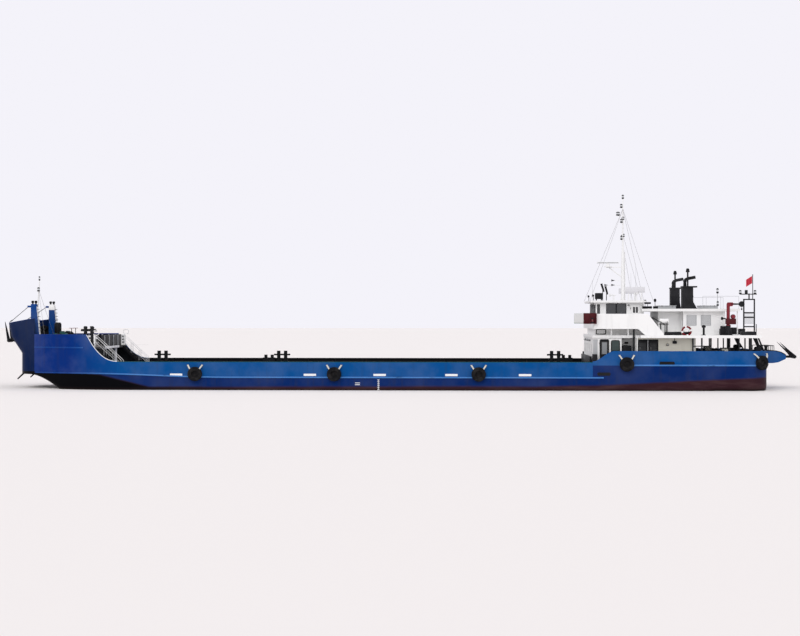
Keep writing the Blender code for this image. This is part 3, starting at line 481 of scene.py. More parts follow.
def make_hull_finishes():
    # Shell below the belting: boot-top of red-brown, with painted shade near black under the bow
    lower = Finish("hull_shell", (0.001, 0.018, 0.112), 0.45, specular=0.04)
    along = lower.math("DIVIDE", lower.math("ADD", lower.axis("x"), 31.5), 65.0)
    # Height of the boot-top along the ship, a quarter of the metre value. Its rise towards the stem is the edge of the
    # painted shade under the bow
    edge = lower.ramp(along, (0.0, 0.69), (0.15, 0.57), (0.22, 0.51), (0.30, 0.49), (0.58, 0.48),
                      (0.73, 0.465), (0.80, 0.465), (0.865, 0.72), (1.0, 0.86))
    edge = lower.math("MULTIPLY", edge, 4.0)
    wobble = lower.math("MULTIPLY", lower.noise(2.5, 5), 0.12)
    level = lower.math("SUBTRACT", edge, lower.math("SUBTRACT", lower.axis("z"), wobble))
    boot = lower.above(level, 0.06, 0.09)
    weather(lower, wear=0.05, streak=0.35, patch=0.03)
    lower.tint(boot, (0.034, 0.012, 0.017))
    scum = lower.ramp(lower.noise(0.8, 6, stretch=(4, 4, 0.6)), (0.45, 0), (0.7, 1))
    lower.tint(lower.math("MULTIPLY", boot, lower.math("MULTIPLY", scum, 0.35)), (0.13, 0.075, 0.075))
    # Forward of x = 17 the boot-top band is darkened to near black: painted shade under the swim bow
    lower.tint(lower.math("MULTIPLY", boot, lower.above(lower.axis("x"), 17.0, 5.0)), (0.001, 0.001, 0.002))
    # Darker from the floor up to z = 1.75: a painted contact shadow at the waterline
    waterline_shade = lower.math("SUBTRACT", 1.0, lower.above(lower.axis("z"), 1.75, 0.12))
    lower.tint(lower.math("MULTIPLY", waterline_shade, 0.75), (0.012, 0.007, 0.007))
    lower.relief(weld_lines(lower, "x", PLATE_LENGTH), 0.004)
    lower.relief(lower.noise(2.2, 3), 0.03)
    lower.done()

    for name, colour, bow_shade_colour in (("hull_side", (0.001, 0.066, 0.24), (0.0006, 0.022, 0.16)),
                                     ("belting", (0.055, 0.19, 0.48), (0.006, 0.045, 0.22))):
        side = Finish(name, colour, 0.45, specular=0.04)
        # The bow is darker forward of x = 25: painted shade, as it faces forward and down
        side.tint(side.above(side.axis("x"), 25.0, 2.5), bow_shade_colour)
        weather(side, wear=0.10, streak=0.22, patch=0.05)
        chips = side.ramp(side.noise(0.5, 7, stretch=(2.5, 1, 1), rough=0.7), (0.60, 0), (0.68, 1))
        if name == "belting":
            side.tint(side.math("MULTIPLY", chips, 0.6), (0.012, 0.018, 0.03))
        side.relief(weld_lines(side, "x", PLATE_LENGTH), 0.004)
        side.relief(side.noise(1.8, 3), 0.022)
        side.done()

    # The plating of the blunt front is darkened to nearly black: painted shade of the flared front, which faces forward
    # and down
    front = Finish("bow_front_shade", (0.001, 0.010, 0.052), 0.5, specular=0.03)
    weather(front, wear=0.10, streak=0.22, patch=0.02)
    front.relief(front.noise(1.8, 3), 0.022)
    front.done()

    inside = Finish("bulwark_inside", (0.006, 0.007, 0.009), 0.7, specular=0.08)
    weather(inside, wear=0.6, streak=0.2, patch=0.05)
    inside.relief(inside.noise(0.2, 6), 0.004)
    inside.done()

    # The bulwark of the cargo deck: blue outside, dark inside, black bollards, a greenish rail
    wall = Finish("cargo_bulwark", (0.001, 0.066, 0.24), 0.45, specular=0.04)
    weather(wall, wear=0.10, streak=0.22, patch=0.05)
    across = wall.math("ABSOLUTE", wall.axis("y"))
    wall.tint(wall.above(wall.axis("z"), 3.93, 0.02), (0.004, 0.075, 0.105))
    wall.tint(wall.math("SUBTRACT", 1.0, wall.above(across, 6.47, 0.004)), (0.010, 0.011, 0.013))
    wall.tint(wall.above(wall.axis("z"), 3.99, 0.005), (0.006, 0.007, 0.008))
    rusty = wall.ramp(wall.noise(0.25, 8, rough=0.7), (0.60, 0), (0.72, 1))
    high = wall.math("SUBTRACT", 1.0, wall.above(across, 6.46, 0.01))
    wall.tint(wall.math("MULTIPLY", rusty, wall.math("MULTIPLY", high, 0.5)), RUST)
    wall.relief(weld_lines(wall, "x", PLATE_LENGTH), 0.004)
    wall.relief(wall.noise(1.8, 3), 0.022)
    wall.done()


def plain_paint(name, colour, roughness, wear, streak, patch, specular=0.3, grain=0.003):
    paint = Finish(name, colour, roughness, specular=specular)
    weather(paint, wear, streak, patch)
    paint.relief(paint.noise(0.08, 6), grain)
    paint.relief(paint.noise(0.9, 2), grain * 2)
    paint.done()


def make_paints():
    # Name, colour, roughness, rust, streaks, fading, and the gloss of the dark ones
    for row in (("white", (0.80, 0.80, 0.79), 0.42, 0.30, 0.10, 0.0),
                ("cream", (0.66, 0.64, 0.55), 0.45, 0.30, 0.12, 0.0),
                ("grey", (0.40, 0.41, 0.42), 0.50, 0.25, 0.15, 0.05),
                ("black", (0.007, 0.007, 0.009), 0.50, 0.10, 0.10, 0.03, 0.10),
                ("post_blue", (0.001, 0.040, 0.19), 0.45, 0.15, 0.20, 0.05, 0.05),
                # Pale panes for the windows on the lit fronts: painted glare
                ("glare_pane", (0.52, 0.53, 0.54), 0.70, 0.0, 0.05, 0.0, 0.1),
                ("red", (0.17, 0.006, 0.015), 0.45, 0.15, 0.15, 0.05, 0.1),
                ("dark_red", (0.060, 0.003, 0.006), 0.45, 0.10, 0.15, 0.02, 0.1),
                ("green", (0.010, 0.12, 0.045), 0.45, 0.10, 0.15, 0.02),
                ("teal", (0.010, 0.070, 0.062), 0.50, 0.30, 0.20, 0.05),
                ("dark_grey", (0.045, 0.047, 0.05), 0.50, 0.15, 0.15, 0.03),
                ("brown", (0.16, 0.13, 0.07), 0.50, 0.15, 0.15, 0.03),
                ("board", (0.62, 0.62, 0.64), 0.50, 0.10, 0.10, 0.05),
                ("buoy_red", (0.15, 0.007, 0.011), 0.50, 0.05, 0.15, 0.05, 0.1),
                ("curtain", (0.24, 0.25, 0.26), 0.85, 0.0, 0.10, 0.05),
                ("soot", SOOT, 0.95, 0.0, 0.0, 0.0)):
        plain_paint(*row)

    # The deckhouse, white forward and cream from its double doors aft
    house = Finish("house_wall", (0.66, 0.64, 0.55), 0.45)
    house.tint(house.above(house.axis("x"), -20.30, 0.01), (0.80, 0.80, 0.79))
    weather(house, 0.35, 0.12, 0.0)
    house.relief(house.noise(0.08, 6), 0.003)
    house.relief(house.noise(0.9, 2), 0.006)
    house.done()

    # The boat deck is white on black pillars
    over = Finish("boat_deck_paint", (0.80, 0.80, 0.79), 0.45)
    weather(over, 0.30, 0.10, 0.0)
    over.tint(over.math("SUBTRACT", 1.0, over.above(over.axis("z"), BOAT_DECK_UNDER, 0.005)), (0.007, 0.007, 0.009))
    over.relief(over.noise(0.08, 6), 0.003)
    over.done()

    deck = Finish("deck", (0.085, 0.070, 0.058), 0.75, specular=0.2)
    weather(deck, wear=0.9, streak=0.0, patch=0.05)
    dirt = deck.ramp(deck.noise(4.0, 6), (0.40, 0), (0.70, 1))
    deck.tint(deck.math("MULTIPLY", dirt, 0.6), (0.20, 0.17, 0.13))
    for axis_name, spacing in (("x", PLATE_LENGTH), ("y", PLATE_HEIGHT)):
        lines = weld_lines(deck, axis_name, spacing)
        deck.tint(deck.math("MULTIPLY", lines, 0.6), RUST)
        deck.relief(lines, 0.008)
    deck.relief(deck.noise(0.12, 7), 0.006)
    deck.done()

    green_deck = Finish("green_deck", (0.018, 0.085, 0.055), 0.7, specular=0.2)
    weather(green_deck, wear=0.6, streak=0.0, patch=0.12)
    green_deck.relief(green_deck.noise(0.05, 6), 0.004)
    green_deck.done()

    rubber = Finish("rubber", (0.009, 0.009, 0.010), 0.85, specular=0.05)
    dust = rubber.ramp(rubber.noise(0.35, 6), (0.45, 0), (0.75, 1))
    rubber.tint(rubber.math("MULTIPLY", dust, 0.2), (0.10, 0.09, 0.08))
    rubber.relief(rubber.noise(0.03, 5), 0.004)
    rubber.done()

    core = Finish("tyre_core", (0.030, 0.024, 0.022), 0.85, specular=0.05)
    mud = core.ramp(core.noise(0.2, 6), (0.40, 0), (0.70, 1))
    core.tint(core.math("MULTIPLY", mud, 0.6), (0.025, 0.020, 0.018))
    core.relief(core.noise(0.05, 5), 0.006)
    core.done()

    rope = Finish("rope", (0.70, 0.68, 0.60), 0.85, specular=0.1)
    twist = rope.noise(0.03, 3)
    rope.tint(rope.math("MULTIPLY", twist, 0.4), (0.25, 0.23, 0.19))
    rope.relief(twist, 0.01)
    rope.done()

    for name, colour in (("glass", (0.012, 0.014, 0.017)), ("teal_glass", (0.008, 0.028, 0.027)),
                         ("dark_glass", (0.004, 0.005, 0.006))):
        glass = Finish(name, colour, 0.10, specular=0.5, coat=0.2)
        smear = glass.ramp(glass.noise(0.7, 5), (0.5, 0), (0.8, 1))
        glass.tint(glass.math("MULTIPLY", smear, 0.15), (0.09, 0.10, 0.11))
        glass.done(rough_range=0.05)

    for name, colour in (("lens", (0.55, 0.57, 0.58)), ("lens_red", (0.10, 0.005, 0.006)), ("lens_green", (0.02, 0.35, 0.10))):
        lens = Finish(name, colour, 0.12, specular=0.6, coat=0.3)
        ribs = weld_lines(lens, "z", 0.03, 0.007)
        lens.relief(ribs, 0.004)
        lens.done(rough_range=0.04)

    steel = Finish("steel", (0.28, 0.27, 0.26), 0.45, metallic=0.7, specular=0.4)
    weather(steel, wear=0.8, streak=0.2, patch=0.1)
    steel.relief(steel.noise(0.05, 6), 0.003)
    steel.done()

    bronze = Finish("bronze", (0.50, 0.30, 0.11), 0.32, metallic=1.0, specular=0.5)
    tarnish = bronze.ramp(bronze.noise(0.3, 6), (0.42, 0), (0.7, 1))
    bronze.tint(bronze.math("MULTIPLY", tarnish, 0.6), (0.10, 0.13, 0.09))
    bronze.relief(bronze.noise(0.04, 5), 0.002)
    bronze.done()

    # The flag's cloth, with its weave
    cloth = Finish("flag_cloth", (0.55, 0.030, 0.060), 0.85, specular=0.1)
    cloth.relief(weld_lines(cloth, "z", 0.012, 0.004), 0.002)
    cloth.relief(weld_lines(cloth, "x", 0.012, 0.004), 0.002)
    fade = cloth.noise(0.3, 4)
    cloth.tint(cloth.math("MULTIPLY", fade, 0.3), (0.70, 0.20, 0.22))
    cloth.done()


make_hull_finishes()
make_paints()


def repaint(finish, *nodes):
    """Gives CAD nodes a finish in all their slots."""
    for node in nodes:
        slots = bpy.data.objects[node].material_slots
        for slot in slots:
            slot.material = FINISHES[finish]


def both(stem):
    return [stem + "_" + name for name, _ in SIDES]


# The hull, with its curves smoother than the solids'

def hull_ring(x, top):
    half, bottom = half_breadth(x), bottom_height(x)
    bilge = min(BILGE_RADIUS, 0.45 * (top - bottom))
    corner = []
    for angle in steps(0, pi / 2, 6):
        corner.append((half - bilge + bilge * sin(angle), bottom + bilge - bilge * cos(angle)))
    port = [(x, y, z) for y, z in corner + [(half, top)]]
    return port + [(x, -y, z) for x, y, z in reversed(port)]


def make_hull():
    bow = Piece("hull_bow_shell")
    stations = steps(X_HULL_SPLIT + GAP, X_CHEEK, 44) + [31.3, 31.6, 31.9, 32.1, 32.3, 32.45, 32.57, 32.65, 32.69]
    bow.add("hull_shell", loft([hull_ring(x, deck_height(x)) for x in stations]))
    for _, side in SIDES:
        y = side * 2.0
        bow.add("hull_shell", rod((32.3, y, 2.95), (32.97, y, 2.33), 0.085, 0.055, 14))
    bow.make(replaces=["hull_bow"])

    stern = Piece("hull_stern_shell")
    stations = [X_POOP, -22.5] + steps(-22.8, X_CORNER, 22) + corner_stations() + [X_TRANSOM]
    stern.add("hull_shell", loft([hull_ring(x, POOP_DECK) for x in stations]))
    for _, side in SIDES:
        y = side * 2.7
        stern.add("hull_shell", lathe([(0.17, 0), (0.17, 2.2), (0.14, 3.0)], (-24.0, y, 0.75), (-1, 0, 0)))
        stern.add("hull_shell", prism(lens_outline(-26.5, -26.85, y, 0.045), "z", (0.75, 1.7)))
        stern.add("hull_shell", lathe([(0.17, 0), (0.17, 0.28), (0.13, 0.32)], (-28.6, y, 1.8), (0, 0, -1)))
    stern.make(replaces=["hull_stern"])
    repaint("hull_shell", "hull_midbody")
    repaint("deck", "cargo_deck")


def corner_stations():
    """Places that follow the round stern corner in even steps."""
    return [X_CORNER - CORNER_RADIUS * sin(radians(angle)) for angle in (8, 16, 24, 32, 40, 48, 56, 62)]


def lens_outline(fore, aft, y, half):
    """A plate's plan with its edges faired to points."""
    middle = (fore + aft) / 2
    return [(fore, y), (middle + (fore - middle) * 0.5, y + half), (middle + (aft - middle) * 0.5, y + half),
            (aft, y), (middle + (aft - middle) * 0.5, y - half), (middle + (fore - middle) * 0.5, y - half)]


def shell_loft(stations, bottom, top, side, outer=0.0, thickness=PLATE):
    """Side plating between two heights, given as functions of x."""
    rings = []
    for x in stations:
        half = half_breadth(x) + outer
        rings.append([(x, side * y, z) for y, z in ((half, bottom(x)), (half, top(x)),
                                                    (half - thickness, top(x)), (half - thickness, bottom(x)))])
    return loft(rings)


def edge_tube(stations, top, side, radius, inset=PLATE / 2):
    """A round bar along the top of the side plating."""
    return tube([(x, side * (half_breadth(x) - inset), top(x)) for x in stations], radius, sides=8)


# The bollards on the forecastle are staggered: x and y by side
BOW_BOLLARDS = {1: (25.78, 5.72), -1: (28.3, 4.46)}


def make_sides():
    repaint("cargo_bulwark", *both("bulwark"))
    for name, side in SIDES:
        bow = Piece("bow_side_" + name)
        curve = steps(X_BREAK + GAP, X_BREAK_TOP, 24)
        stations = curve + steps(26.2, X_CHEEK - GAP, 24)
        bow.add("hull_side", shell_loft(stations, lambda x: deck_height(x) + GAP, bow_top, side))
        liner = [x for x in stations if x < X_CHEEK - 0.05]
        bow.add("bulwark_inside", shell_loft(liner, lambda x: FORECASTLE_DECK + 0.02,
                                             lambda x: max(bow_top(x) - 0.04, FORECASTLE_DECK + 0.025),
                                             side, outer=-PLATE - 0.001, thickness=0.008))
        bow.add("bulwark_inside", shell_loft(liner, lambda x: deck_height(x) + 0.02,
                                             lambda x: min(bow_top(x) - 0.04, FORECASTLE_UNDER - 0.02),
                                             side, outer=-PLATE - 0.001, thickness=0.008))
        bow.add("white", edge_tube(curve, bow_top, side, 0.045))
        bow.add("hull_side", edge_tube([x for x in stations if x >= X_BREAK_TOP], bow_top, side, 0.05))
        # Forecastle belting, and the hull's knuckle line below it
        top = [x for x in stations if x > 26.0]
        bow.add("belting", shell_loft(top, lambda x: 5.08, lambda x: 5.19, side, outer=0.03, thickness=0.04))
        x, y = BOW_BOLLARDS[side]
        for offset in (-0.29, 0.29):
            foot = (x + offset, side * y, FORECASTLE_DECK + 0.2)
            bow.add("black", bollard_post(foot, 6.9 - foot[2]))
        bow.add("black", tube([(x - 0.68, side * y, 6.58), (x + 0.68, side * y, 6.58)], 0.07, sides=12))
        base = [(x - 0.46, side * (y - 0.25)), (x + 0.46, side * (y - 0.25))]
        for end in (x + 0.46, x - 0.46):
            base.append((end, side * (half_breadth(end) - PLATE / 2)))
        bow.add("black", prism(base, "z", (FORECASTLE_DECK + GAP, FORECASTLE_DECK + 0.3)))
        bow.make(replaces=["bow_shell_" + name])


def bollard_post(foot, height, radius=0.15):
    """A mooring post with a rolled cap."""
    profile = [(radius, 0), (radius, height - 0.14), (radius * 1.1, height - 0.12),
               (radius * 1.15, height - 0.06), (radius * 1.0, height - 0.015), (radius * 0.7, height), (0, height)]
    return lathe(profile, foot, sides=16)


# The front, flared and blunt

def front_plan(reach, half, count=14):
    points = []
    for i in range(2 * count + 1):
        share = 1 - i / count
        share = (abs(share) ** 0.75) * (1 if share > 0 else -1)
        points.append((X_CHEEK + (reach - X_CHEEK) * (1 - abs(share) ** FRONT_POWER), share * half))
    return points


def front_ring(z, inset=0.0, sloped=False, thickness=PLATE):
    reach = front_x(z) - inset
    outer = front_plan(reach, CHEEK_HALF - inset)
    inner = front_plan(reach - thickness, CHEEK_HALF - inset - thickness)

    def height(x):
        if not sloped:
            return z
        return CHEEK_TOP - (CHEEK_TOP - z) * (x - X_CHEEK) / (reach - X_CHEEK)

    return [(x, y, height(x)) for x, y in outer + inner[::-1]]


def make_front():
    front = Piece("bow_front_shell")
    levels = [BOW_DECK + GAP, 3.6, 4.1, 4.6, 4.9, FORECASTLE_UNDER, FORECASTLE_DECK, 5.5, 6.0, 6.4, 6.8]
    rings = [front_ring(z) for z in levels] + [front_ring(FRONT_TOP, sloped=True)]
    # The front's plating takes the near black painted shade
    front.add("bow_front_shade", loft(rings))
    lining = [front_ring(z, PLATE + 0.002, thickness=0.008) for z in (FORECASTLE_DECK + 0.02, 5.6, 6.0, 6.5, 6.9)]
    front.add("bulwark_inside", loft(lining))
    # The rail along the sloped top, and the belting round the front
    top = front_plan(front_x(FRONT_TOP) - PLATE / 2, CHEEK_HALF - PLATE / 2)
    reach = front_x(FRONT_TOP) - PLATE / 2
    rail = [(x, y, CHEEK_TOP - (CHEEK_TOP - FRONT_TOP) * (x - X_CHEEK) / (reach - X_CHEEK) - 0.01) for x, y in top]
    front.add("hull_side", tube(rail, 0.055))
    front.make(replaces=["bow_front"])


# Railings and ladders

def railing(piece, path, height=1.0, rails=3, spacing=1.3, radius=0.028, finish="white", posts=True):
    """Posts along a path of points at deck level, with level rails between them."""
    path = [Vector(point) for point in path]
    for level in range(rails):
        z = height * (level + 1) / rails
        line = bent([point + Vector((0, 0, z)) for point in path], 0.12, 3) if len(path) > 2 else \
            [point + Vector((0, 0, z)) for point in path]
        piece.add(finish, tube(line, radius if level == rails - 1 else radius * 0.75, sides=6))
    if not posts:
        return
    for start, end in zip(path, path[1:]):
        count = max(1, round((end - start).length / spacing))
        for i in range(count + 1):
            foot = start.lerp(end, i / count)
            piece.add(finish, rod(foot, foot + Vector((0, 0, height)), radius, sides=6))
            piece.add(finish, rod(foot, foot + Vector((0, 0, 0.03)), radius * 2.2, sides=8))


def ladder(piece, foot, head, width=0.4, across=(0, 1, 0), finish="white", pitch=0.3, radius=0.022):
    """Two rails and rungs between two points."""
    foot, head, across = Vector(foot), Vector(head), Vector(across).normalized()
    for end in (-1, 1):
        offset = across * end * width / 2
        piece.add(finish, rod(foot + offset, head + offset, radius * 1.3, sides=6))
    count = max(2, int((head - foot).length / pitch))
    for i in range(1, count):
        middle = foot.lerp(head, i / count)
        piece.add(finish, rod(middle - across * width / 2, middle + across * width / 2, radius, sides=6))


# Belting and tyres: places along the ship and heights, as in the model's source

CARGO_TYRES = ((16.6, 2.95), (4.9, 2.95), (-7.15, 2.95))
POOP_TYRES = ((-19.4, 3.80), (-30.45, 3.93))
TYRE_RADIUS = 0.60
TYRE_HALF = 0.165


def truck_tyre(piece, centre, outward):
    """A worn truck tyre that lies against the side, with tread, beads and its dirty hollow."""
    half = TYRE_HALF
    profile = [(0.27, -half * 0.8), (0.30, -half), (0.50, -half), (0.565, -half * 0.85)]
    for groove in (-0.085, -0.028, 0.028, 0.085):
        profile += [(TYRE_RADIUS, groove - 0.018), (TYRE_RADIUS - 0.022, groove - 0.012),
                    (TYRE_RADIUS - 0.022, groove + 0.012), (TYRE_RADIUS, groove + 0.018)]
    profile += [(0.565, half * 0.85), (0.52, half), (0.47, half * 1.02), (0.44, half * 0.96), (0.40, half * 1.03),
                (0.33, half), (0.29, half * 0.9), (0.27, half * 0.75), (0.26, 0.02)]
    body = lathe(profile, centre, outward, sides=40)
    piece.add("rubber", body)
    piece.add("tyre_core", lathe([(0.272, -half * 0.5), (0.272, -0.03), (0.20, -0.01), (0.10, -0.05), (0, -0.05)],
                                 centre, outward, sides=28))
    turn = frame_of(outward)
    for i in range(28):
        angle = 2 * pi * i / 28
        lug = box((TYRE_RADIUS - 0.06, TYRE_RADIUS - 0.005), (-0.028, 0.028), (-half * 0.98, half * 0.98), 0.01)
        lug.transform(Matrix.Translation(centre) @ turn @ Matrix.Rotation(angle, 4, "Z"))
        piece.add("rubber", lug)


def tyre_ropes(piece, x, z, side):
    """Two short lashings up from the tyre to the side."""
    face = side_normal(x, side)
    for end in (-1, 1):
        low = Vector((x + end * 0.36, side * half_breadth(x + end * 0.36), z + 0.33)) + face * (TYRE_HALF + 0.10)
        high = Vector((x + end * 0.60, side * half_breadth(x + end * 0.60), z + 0.70)) + face * 0.05
        middle = low.lerp(high, 0.5) + face * 0.06
        for shift in (-0.035, 0.035):
            offset = Vector((shift, 0, abs(shift)))
            piece.add("rope", tube(bent([low + offset, middle + offset, high + offset], 0.1), 0.034, sides=8))
        piece.add("steel", box((high.x - 0.08, high.x + 0.08), (high.y - face.y * 0.055, high.y + 0.01),
                               (high.z - 0.03, high.z + 0.09), 0.01))


def belt_ring(x, y, outward, low, high):
    """The half-round section of a rubbing strake."""
    points = []
    for angle in steps(-90, 90, 6):
        reach = 0.079 * cos(radians(angle)) + GAP
        z = (low + high) / 2 + (high - low) / 2 * sin(radians(angle))
        points.append((x + outward.x * reach, y + outward.y * reach, z))
    return points


def belting(stations, side, low, high):
    """A rubbing strake along the side. Its heights are functions of x."""
    rings = []
    for x in stations:
        outward = side_normal(x, side)
        rings.append(belt_ring(x, side * half_breadth(x), outward, low(x), high(x)))
    return loft(rings)


def make_beltings():
    cargo = [-17.5, 14.0] + steps(15.0, X_SHOULDER, 9) + steps(24.3, 30.9, 22)
    poop = [-18.9, X_CORNER] + corner_stations()[:-1]
    for name, side in SIDES:
        lower = Piece("belting_" + name)
        lower.add("belting", belting(cargo, side, lambda x: deck_height(x) - 0.14, lambda x: deck_height(x) - 0.01))
        upper = Piece("poop_belting_" + name)
        upper.add("belting", belting(poop, side, lambda x: 3.64, lambda x: 3.78))
        for piece, tyres in ((lower, CARGO_TYRES), (upper, POOP_TYRES)):
            for x, z in tyres:
                outward = side_normal(x, side)
                centre = Vector((x, side * half_breadth(x), z)) + outward * (TYRE_HALF + 0.01)
                truck_tyre(piece, centre, outward)
                tyre_ropes(piece, x, z, side)
        lower.make(replaces=["strake_" + name])
        upper.make(replaces=["poop_strake_" + name])


# Gear on the forecastle

POST_X = 31.5
POST_Y = 2.9
POST_TOP = 8.85
DRUM_X = 29.3
DRUM_Z = 6.15


def make_bow_posts():
    for name, side in SIDES:
        y = side * POST_Y
        post = Piece("bow_horn_" + name)
        rings = []
        for z, back, half in ((FORECASTLE_DECK + GAP, 0.85, 0.30), (7.0, 0.67, 0.26), (8.36, 0.546, 0.231),
                              (8.80, 0.50, 0.22), (POST_TOP, 0.42, 0.18)):
            outline = rounded((POST_X - back, POST_X), (y - half, y + half), 0.05, 3)
            rings.append([(px, py, z) for px, py in outline])
        post.add("post_blue", loft(rings[:3]))
        post.add("white" if side < 0 else "post_blue", loft(rings[2:]))
        # The aft face is white: a painted highlight where light falls on the aft side
        face = [(POST_X - back, z) for z, back in ((5.2, 0.845), (7.0, 0.67), (8.36, 0.546), (8.62, 0.52))]
        outline = [(x - 0.012, z) for x, z in face] + [(x + 0.01, z) for x, z in reversed(face)]
        post.add("white", prism(outline, "y", (y - 0.21, y + 0.21)))
        for x in (POST_X - 0.12, POST_X - 0.40):
            post.add("black", lathe([(0.07, 0), (0.07, 0.20), (0.115, 0.22), (0.125, 0.30), (0.105, 0.385), (0.06, 0.40),
                                     (0, 0.40)], (x, y, POST_TOP - 0.11), sides=14))
        post.add("post_blue", box((POST_X - 0.1, POST_X + 0.32), (y - 0.12, y + 0.12), (8.55, 8.72), 0.02))
        post.add("black", tube([(POST_X + 0.25, y, 8.62), (33.62, side * 2.0, 7.28)], 0.026, sides=8))
        post.add("black", lathe([(0.02, 0), (0.05, 0.05), (0.05, 0.22), (0.02, 0.28)],
                                Vector((POST_X + 0.25, y, 8.62)).lerp(Vector((33.62, side * 2.0, 7.28)), 0.86),
                                (2.47, -side * 0.9, -1.34), sides=8))
        # Brackets at the foot, rungs up the aft face
        for px, direction in ((POST_X - 0.80, -1), (POST_X - 0.02, 1)):
            outline = [(px, FORECASTLE_DECK), (px + direction * 0.35, FORECASTLE_DECK), (px, 5.75)]
            post.add("post_blue", prism(outline, "y", (y - 0.03, y + 0.03)))
        for z in steps(5.6, 8.4, 9):
            back = 0.85 - 0.35 * (z - FORECASTLE_DECK) / (POST_TOP - FORECASTLE_DECK)
            rung = [(POST_X - back + 0.03, y - 0.17, z), (POST_X - back - 0.14, y - 0.17, z),
                    (POST_X - back - 0.14, y + 0.17, z), (POST_X - back + 0.03, y + 0.17, z)]
            post.add("black", tube(bent(rung, 0.04, 2), 0.02, sides=6))
        post.make(replaces=["bow_post_" + name])


def lamp(piece, x, y, foot, height, radius, case="black"):
    """A navigation light: a base, a ribbed lens and a cap."""
    piece.add(case, lathe([(radius * 0.7, 0), (radius, 0.02), (radius, height * 0.3), (radius * 0.9, height * 0.32)],
                          (x, y, foot), sides=14))
    piece.add("lens", lathe([(radius * 0.86, 0), (radius * 0.88, height * 0.2), (radius * 0.86, height * 0.4)],
                            (x, y, foot + height * 0.32), sides=14))
    piece.add(case, lathe([(radius, 0), (radius, height * 0.10), (radius * 0.6, height * 0.26), (0, height * 0.28)],
                          (x, y, foot + height * 0.72), sides=14))


def make_light_mast():
    mast = Piece("bow_mast_fitted")
    mast.add("white", box((31.75, 32.15), (-0.2, 0.2), (FORECASTLE_DECK + GAP, FORECASTLE_DECK + 0.06), 0.01))
    mast.add("white", rod((31.95, 0, FORECASTLE_DECK + 0.05), (31.6, 0, 10.98), 0.085, 0.035, 14))
    for angle in (45, 135, 225, 315):
        foot = Vector((31.95 + 0.16 * cos(radians(angle)), 0.16 * sin(radians(angle)), FORECASTLE_DECK + 0.05))
        mast.add("white", tube([foot, (31.92, 0, 5.75)], 0.015, sides=6))
    mast.add("white", box((31.57, 31.77), (-0.12, 0.12), (9.94, 9.98), 0.01))
    lamp(mast, 31.68, 0, 9.98, 0.38, 0.125)
    lamp(mast, 31.6, 0, 10.95, 0.38, 0.075)
    for z in steps(5.9, 9.6, 10):
        x = 31.95 - 0.35 * (z - 5.2) / 5.8
        mast.add("white", tube([(x, -0.2, z), (x, 0.2, z)], 0.014, sides=6))
    for side in (-1, 1):
        mast.add("steel", tube([(31.66, side * 0.02, 10.1), (30.5, side * 1.9, FORECASTLE_DECK + 0.02)], 0.012, sides=6))
    mast.make(replaces=["bow_light_mast"])


